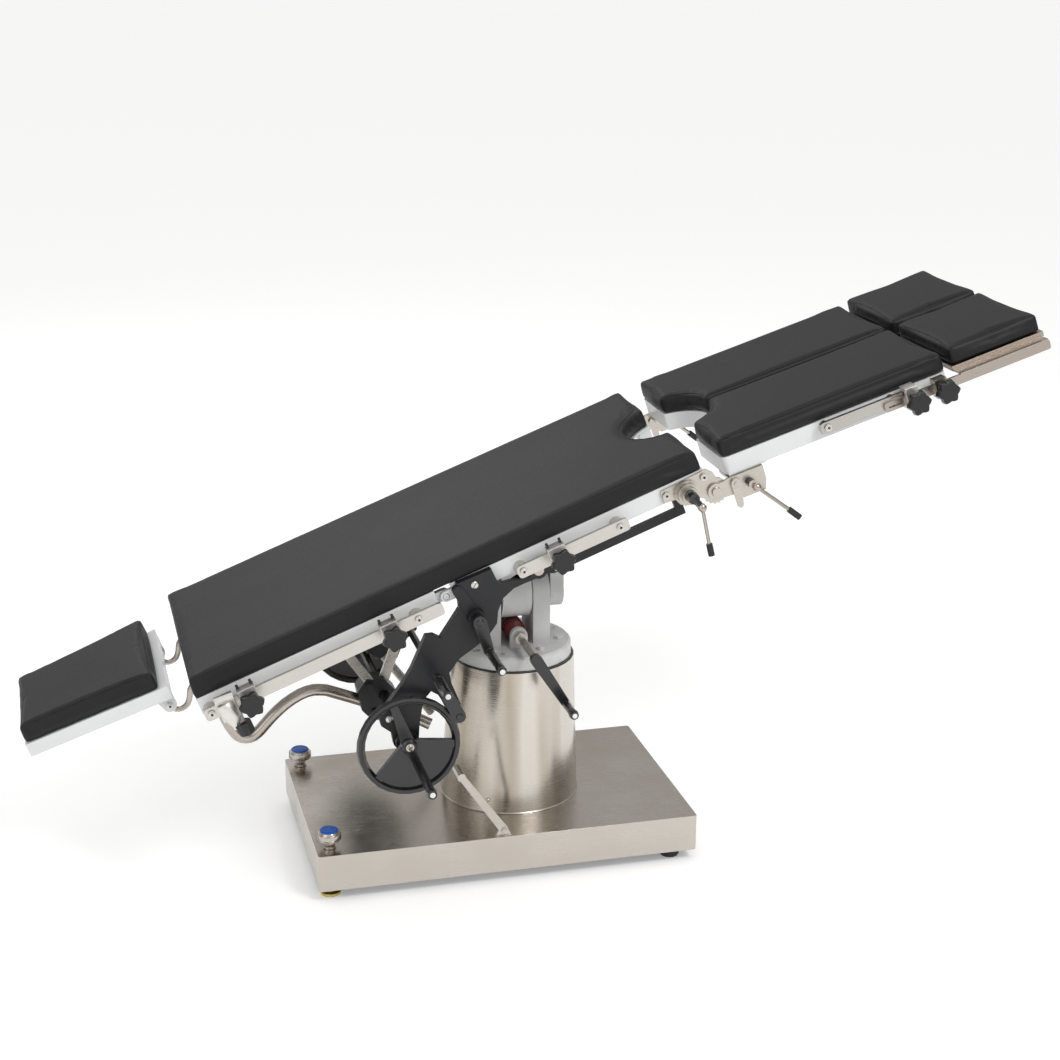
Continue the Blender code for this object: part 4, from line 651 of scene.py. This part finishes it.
def cushion(name, loop, z0, z1, where, key, welts, voxel=0.006, cap=0.003, shrink=0.0025, seed=0.0):
    """Upholstered slab in section coordinates, inflated, wrinkled, with welts sewn along its edges; the
    welts' lighter colour is a painted highlight.
    """
    loop = [tuple(p) for p in loop]
    if area_of(loop) < 0:
        loop.reverse()
    bm = bmesh.new()
    rows = []
    for by, z in ((shrink, z0 + 0.0006), (shrink, z1 - 0.0050), (shrink + 0.0010, z1 - 0.0034),
                  (shrink + 0.0030, z1 - 0.0024)):
        rows.append([bm.verts.new((x, y, z)) for x, y in inset_ring(loop, by)])
    n = len(loop)
    for a, b in zip(rows, rows[1:]):
        for i in range(n):
            j = (i + 1) % n
            bm.faces.new((a[i], a[j], b[j], b[i]))
    bm.faces.new(list(reversed(rows[0])))
    bm.faces.new(rows[-1])
    bmesh.ops.triangulate(bm, faces=bm.faces[:])
    bmesh.ops.recalc_face_normals(bm, faces=bm.faces[:])
    ob = link_mesh(name, bm)
    remesh = ob.modifiers.new('remesh', 'REMESH')
    remesh.mode = 'VOXEL'
    remesh.voxel_size = voxel
    apply_all(ob)
    inflate(ob, z0, cap)
    dist = edge_distance(loop)
    mid_x, mid_y = sum(p[0] for p in loop) / n, sum(p[1] for p in loop) / n
    for v in ob.data.vertices:
        x, y, z = v.co
        if z < z0 + 0.003:
            v.co.z = max(z0, z)
            continue
        d = dist(x, y)
        near = max(0.0, 1 - d / 0.055)
        up = max(0.0, min(1.0, (z - z0 - 0.006) / 0.02))
        wide = noise.noise(Vector((x * 6 + seed, y * 7, 1.3))) * 0.0009 * min(1.0, d / 0.03)
        pull = noise.noise(Vector((x * 26 + seed, y * 26, z * 10))) * 0.0005 * near
        v.co.z += (wide + pull * 0.8) * up
        if d < 0.010:
            puck = noise.noise(Vector((x * 38 + seed, y * 38, z * 14 + 4))) * 0.0005 * up
            v.co.x += puck * (1 if x > mid_x else -1)
            v.co.y += puck * (1 if y > mid_y else -1)
    sub = ob.modifiers.new('smooth', 'SUBSURF')
    sub.levels = sub.render_levels = 1
    apply_all(ob)
    mesh = ob.data
    tree = BVHTree.FromPolygons([v.co for v in mesh.vertices],
                                [tuple(p.vertices) for p in mesh.polygons])
    extra = []
    seam = dense(loop, 0.009)
    seam_in = inset_ring(seam, 0.0012)
    for level, r in welts:
        points = []
        for p, q in zip(seam, seam_in):
            out = Vector((p[0] - q[0], p[1] - q[1], 0)).normalized()
            start = Vector((p[0], p[1], level)) + out * 0.03
            hit = tree.ray_cast(start, -out, 0.08)
            skin = hit[0] if hit[0] is not None else Vector((p[0], p[1], level))
            points.append(skin - out * (r * 0.35))
        for _ in range(2):
            m = len(points)
            points = [(points[i - 1] + points[i] * 2 + points[(i + 1) % m]) / 4 for i in range(m)]
        extra.append(tube(points, r, 7, True))
    bm = bmesh.new()
    bm.from_mesh(mesh)
    for verts, faces in extra:
        made = [bm.verts.new(v) for v in verts]
        for f in faces:
            bm.faces.new([made[k] for k in f]).material_index = 1
    for f in bm.faces:
        f.smooth = True
    bm.to_mesh(mesh)
    bm.free()
    mesh.materials.clear()
    mesh.materials.append(M[key])
    # Second slot: the welts, whose lighter colour is a painted edge highlight.
    mesh.materials.append(M['welt_highlight'])
    mesh.transform(where)
    mesh.update()
    return ob


def arc(cx, cy, r, a0, a1, n):
    """Points of an arc from a0 to a1 degrees."""
    angles = [radians(a0 + (a1 - a0) * i / n) for i in range(n + 1)]
    return [(cx + r * cos(a), cy + r * sin(a)) for a in angles]


def eased(loop, r, n=4):
    """Loop with every sharp corner rounded to about radius r."""
    out = []
    m = len(loop)
    for i, p in enumerate(loop):
        p, a, b = Vector(p), Vector(loop[i - 1]), Vector(loop[(i + 1) % m])
        da, db = (a - p), (b - p)
        if da.normalized().dot(db.normalized()) < -0.94 or min(da.length, db.length) < r * 1.2:
            out.append(tuple(p))
            continue
        u, w = p + da.normalized() * r, p + db.normalized() * r
        for k in range(n + 1):
            t = k / n
            q = u * (1 - t) ** 2 + p * 2 * t * (1 - t) + w * t * t
            out.append(tuple(q))
    return out


TOP_HALF = 0.2395               # half width of the mattress
TOP_T0, TOP_T1 = -0.6560, 0.3535        # its head end and foot end
NOTCH_HALF = 0.0822             # half width of the perineal cut-out at the foot end
notch = arc(0.372, 0, 0.0845, 257.5, 102.5, 22)
top_loop = eased([(TOP_T0, -TOP_HALF), (TOP_T1, -TOP_HALF), (TOP_T1, -NOTCH_HALF)] + notch[1:-1]
                 + [(TOP_T1, NOTCH_HALF), (TOP_T1, TOP_HALF), (TOP_T0, TOP_HALF)], 0.009)
mattress = cushion('mattress', top_loop, 0.0432, 0.0830, TABLE, 'pad', ((0.0796, 0.0010),), 0.0056)
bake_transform(mattress)
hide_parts('back_pad', 'seat_pad', 'pad_fold')

head_loop = eased([(-0.9695, -0.1265), (-0.7065, -0.1505), (-0.7065, 0.1505), (-0.9695, 0.1265)], 0.010)
head_pad = cushion('head_cushion', head_loop, 0.0562, 0.0920, TABLE, 'pad', ((0.0888, 0.0010),), 0.0045,
                   seed=3.0)
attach(head_pad, 'head')
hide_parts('head_pad')


def leg_loop():
    """Near leg pad: its inner corner is cut by the same round as the mattress's cut-out."""
    cut_u, cut_r = -0.012, 0.1025
    u0, u1, inner, outer = 0.0265, 0.4905, -0.0030, -0.2427
    a0 = -atan2((cut_r * cut_r - (u0 - cut_u) ** 2) ** 0.5, u0 - cut_u)
    a1 = -atan2(-inner, (cut_r * cut_r - inner * inner) ** 0.5)
    angles = [a0 + (a1 - a0) * i / 16 for i in range(17)]
    cut = [(cut_u + cut_r * cos(a), cut_r * sin(a)) for a in angles]
    return cut + eased([cut[-1], (u1, inner), (u1, outer), (u0, outer), cut[0]], 0.013)[5:-5]


def mirrored(ob, name):
    """The same pad for the far side."""
    bm = bmesh.new()
    bm.from_mesh(ob.data)
    for v in bm.verts:
        v.co.y = -v.co.y
    bmesh.ops.reverse_faces(bm, faces=bm.faces[:])
    twin = link_mesh(name, bm)
    for m in ob.data.materials:
        twin.data.materials.append(m)
    return twin


leg_near = cushion('leg_cushion_near', leg_loop(), 0.0542, 0.0910, LEG, 'pad_leg',
                   ((0.0878, 0.0010),), 0.0048, seed=7.0)
foot_loop = eased([(0.4995, -0.2445), (0.6895, -0.2445), (0.6895, -0.0070), (0.4995, -0.0070)], 0.012)
foot_near = cushion('foot_cushion_near', foot_loop, 0.0595, 0.0960, LEG, 'pad_leg',
                    ((0.0928, 0.0010), (0.0760, 0.0008)), 0.0045, seed=11.0)
pads = {'leg_cushion_near': leg_near, 'foot_cushion_near': foot_near,
        'leg_cushion_far': mirrored(leg_near, 'leg_cushion_far'),
        'foot_cushion_far': mirrored(foot_near, 'foot_cushion_far')}
for name, ob in pads.items():
    part, _, side = name.split('_')
    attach(ob, part + '_' + side)
    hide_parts(part + '_pad_' + side)


# Floor, light and camera
def plane(name, size, z, colour):
    """Pale floor that glows a little, so that it stays even to its far end."""
    mesh = bpy.data.meshes.new(name)
    corners = [(-size, -size, z), (size, -size, z), (size, size, z), (-size, size, z)]
    mesh.from_pydata(corners, [], [(0, 1, 2, 3)])
    ob = bpy.data.objects.new(name, mesh)
    bpy.context.scene.collection.objects.link(ob)
    f = Finish(name, colour, 0.85, Emission_Color=(1, 1, 1, 1), Emission_Strength=0.22)
    f.colour_from(f.tint(f.noise((2, 2, 2)), shade(colour, 0.995), colour))
    mesh.materials.append(f.mat)


plane('floor', 60.0, FLOOR_Z, (0.93, 0.93, 0.93))


def area_light(name, at, to, size, power):
    """White square lamp at one point, aimed at another."""
    data = bpy.data.lights.new(name, 'AREA')
    data.energy, data.size = power, size
    ob = bpy.data.objects.new(name, data)
    bpy.context.scene.collection.objects.link(ob)
    ob.location = at
    ob.rotation_euler = (Vector(to) - Vector(at)).to_track_quat('-Z', 'Y').to_euler()


area_light('key', (1.6, -3.2, 4.2), (0, 0, 0.4), 1.3, 86)
area_light('fill', (-3.4, -2.6, 2.2), (-0.1, 0, 0.4), 2.6, 20)
area_light('back', (-1.0, 3.6, 3.4), (0, 0, 0.5), 2.4, 22)

world = bpy.data.worlds.new('studio')
bpy.context.scene.world = world
world.use_nodes = True
nt = world.node_tree
sky = nt.nodes['Background']
coord = nt.nodes.new('ShaderNodeTexCoord')
parts = nt.nodes.new('ShaderNodeSeparateXYZ')
nt.links.new(coord.outputs['Generated'], parts.inputs[0])
angle = nt.nodes.new('ShaderNodeMath')
angle.operation = 'ARCTAN2'
nt.links.new(parts.outputs['Y'], angle.inputs[0])
nt.links.new(parts.outputs['X'], angle.inputs[1])
turned = nt.nodes.new('ShaderNodeMapRange')
turned.inputs['From Min'].default_value, turned.inputs['From Max'].default_value = -pi, pi
nt.links.new(angle.outputs[0], turned.inputs['Value'])
bands = nt.nodes.new('ShaderNodeValToRGB')
# Grey bands round the room, as shares of a full turn: they give the bright metal something to mirror
STOPS = [(0.00, 0.42), (0.06, 1.05), (0.15, 0.78), (0.28, 1.15), (0.38, 0.80), (0.455, 0.30),
         (0.50, 0.14), (0.54, 0.36), (0.60, 0.62), (0.70, 0.50), (0.82, 0.78), (0.93, 0.90),
         (1.00, 0.42)]
ramp = bands.color_ramp
while len(ramp.elements) > 1:
    ramp.elements.remove(ramp.elements[-1])
for k, (at, level) in enumerate(STOPS):
    stop = ramp.elements[0] if k == 0 else ramp.elements.new(at)
    stop.position = at
    warm = max(0.0, 1 - level)
    stop.color = (level, level * (1 - 0.07 * warm), level * (1 - 0.16 * warm), 1)
nt.links.new(turned.outputs['Result'], bands.inputs['Fac'])
rise = nt.nodes.new('ShaderNodeMapRange')
rise.interpolation_type = 'SMOOTHSTEP'
for key, v in (('From Min', 0.30), ('From Max', 0.75), ('To Min', 0.0), ('To Max', 1.0)):
    rise.inputs[key].default_value = v
nt.links.new(parts.outputs['Z'], rise.inputs['Value'])
mix = nt.nodes.new('ShaderNodeMix')
mix.data_type = 'RGBA'
mix.inputs[7].default_value = (1.12, 1.12, 1.12, 1)
nt.links.new(rise.outputs['Result'], mix.inputs[0])
nt.links.new(bands.outputs['Color'], mix.inputs[6])
nt.links.new(mix.outputs[2], sky.inputs['Color'])
sky.inputs['Strength'].default_value = 0.76

camera = bpy.data.objects.new('camera', bpy.data.cameras.new('camera'))
bpy.context.scene.collection.objects.link(camera)
ahead = Vector((sin(CAMERA_YAW) * cos(CAMERA_PITCH), cos(CAMERA_YAW) * cos(CAMERA_PITCH),
                -sin(CAMERA_PITCH)))
right = Vector((cos(CAMERA_YAW), -sin(CAMERA_YAW), 0))
up = right.cross(ahead)
right, up = (right * cos(CAMERA_ROLL) + up * sin(CAMERA_ROLL),
             up * cos(CAMERA_ROLL) - right * sin(CAMERA_ROLL))
pose = Matrix((right, up, -ahead)).transposed().to_4x4()
pose.translation = CAMERA_AT
camera.matrix_world = pose
camera.data.sensor_width = SENSOR
camera.data.lens = SENSOR * FOCAL_PIXELS / PHOTO_PIXELS
camera.data.clip_end = 200
bpy.context.scene.camera = camera
bpy.context.scene.view_settings.view_transform = 'Standard'
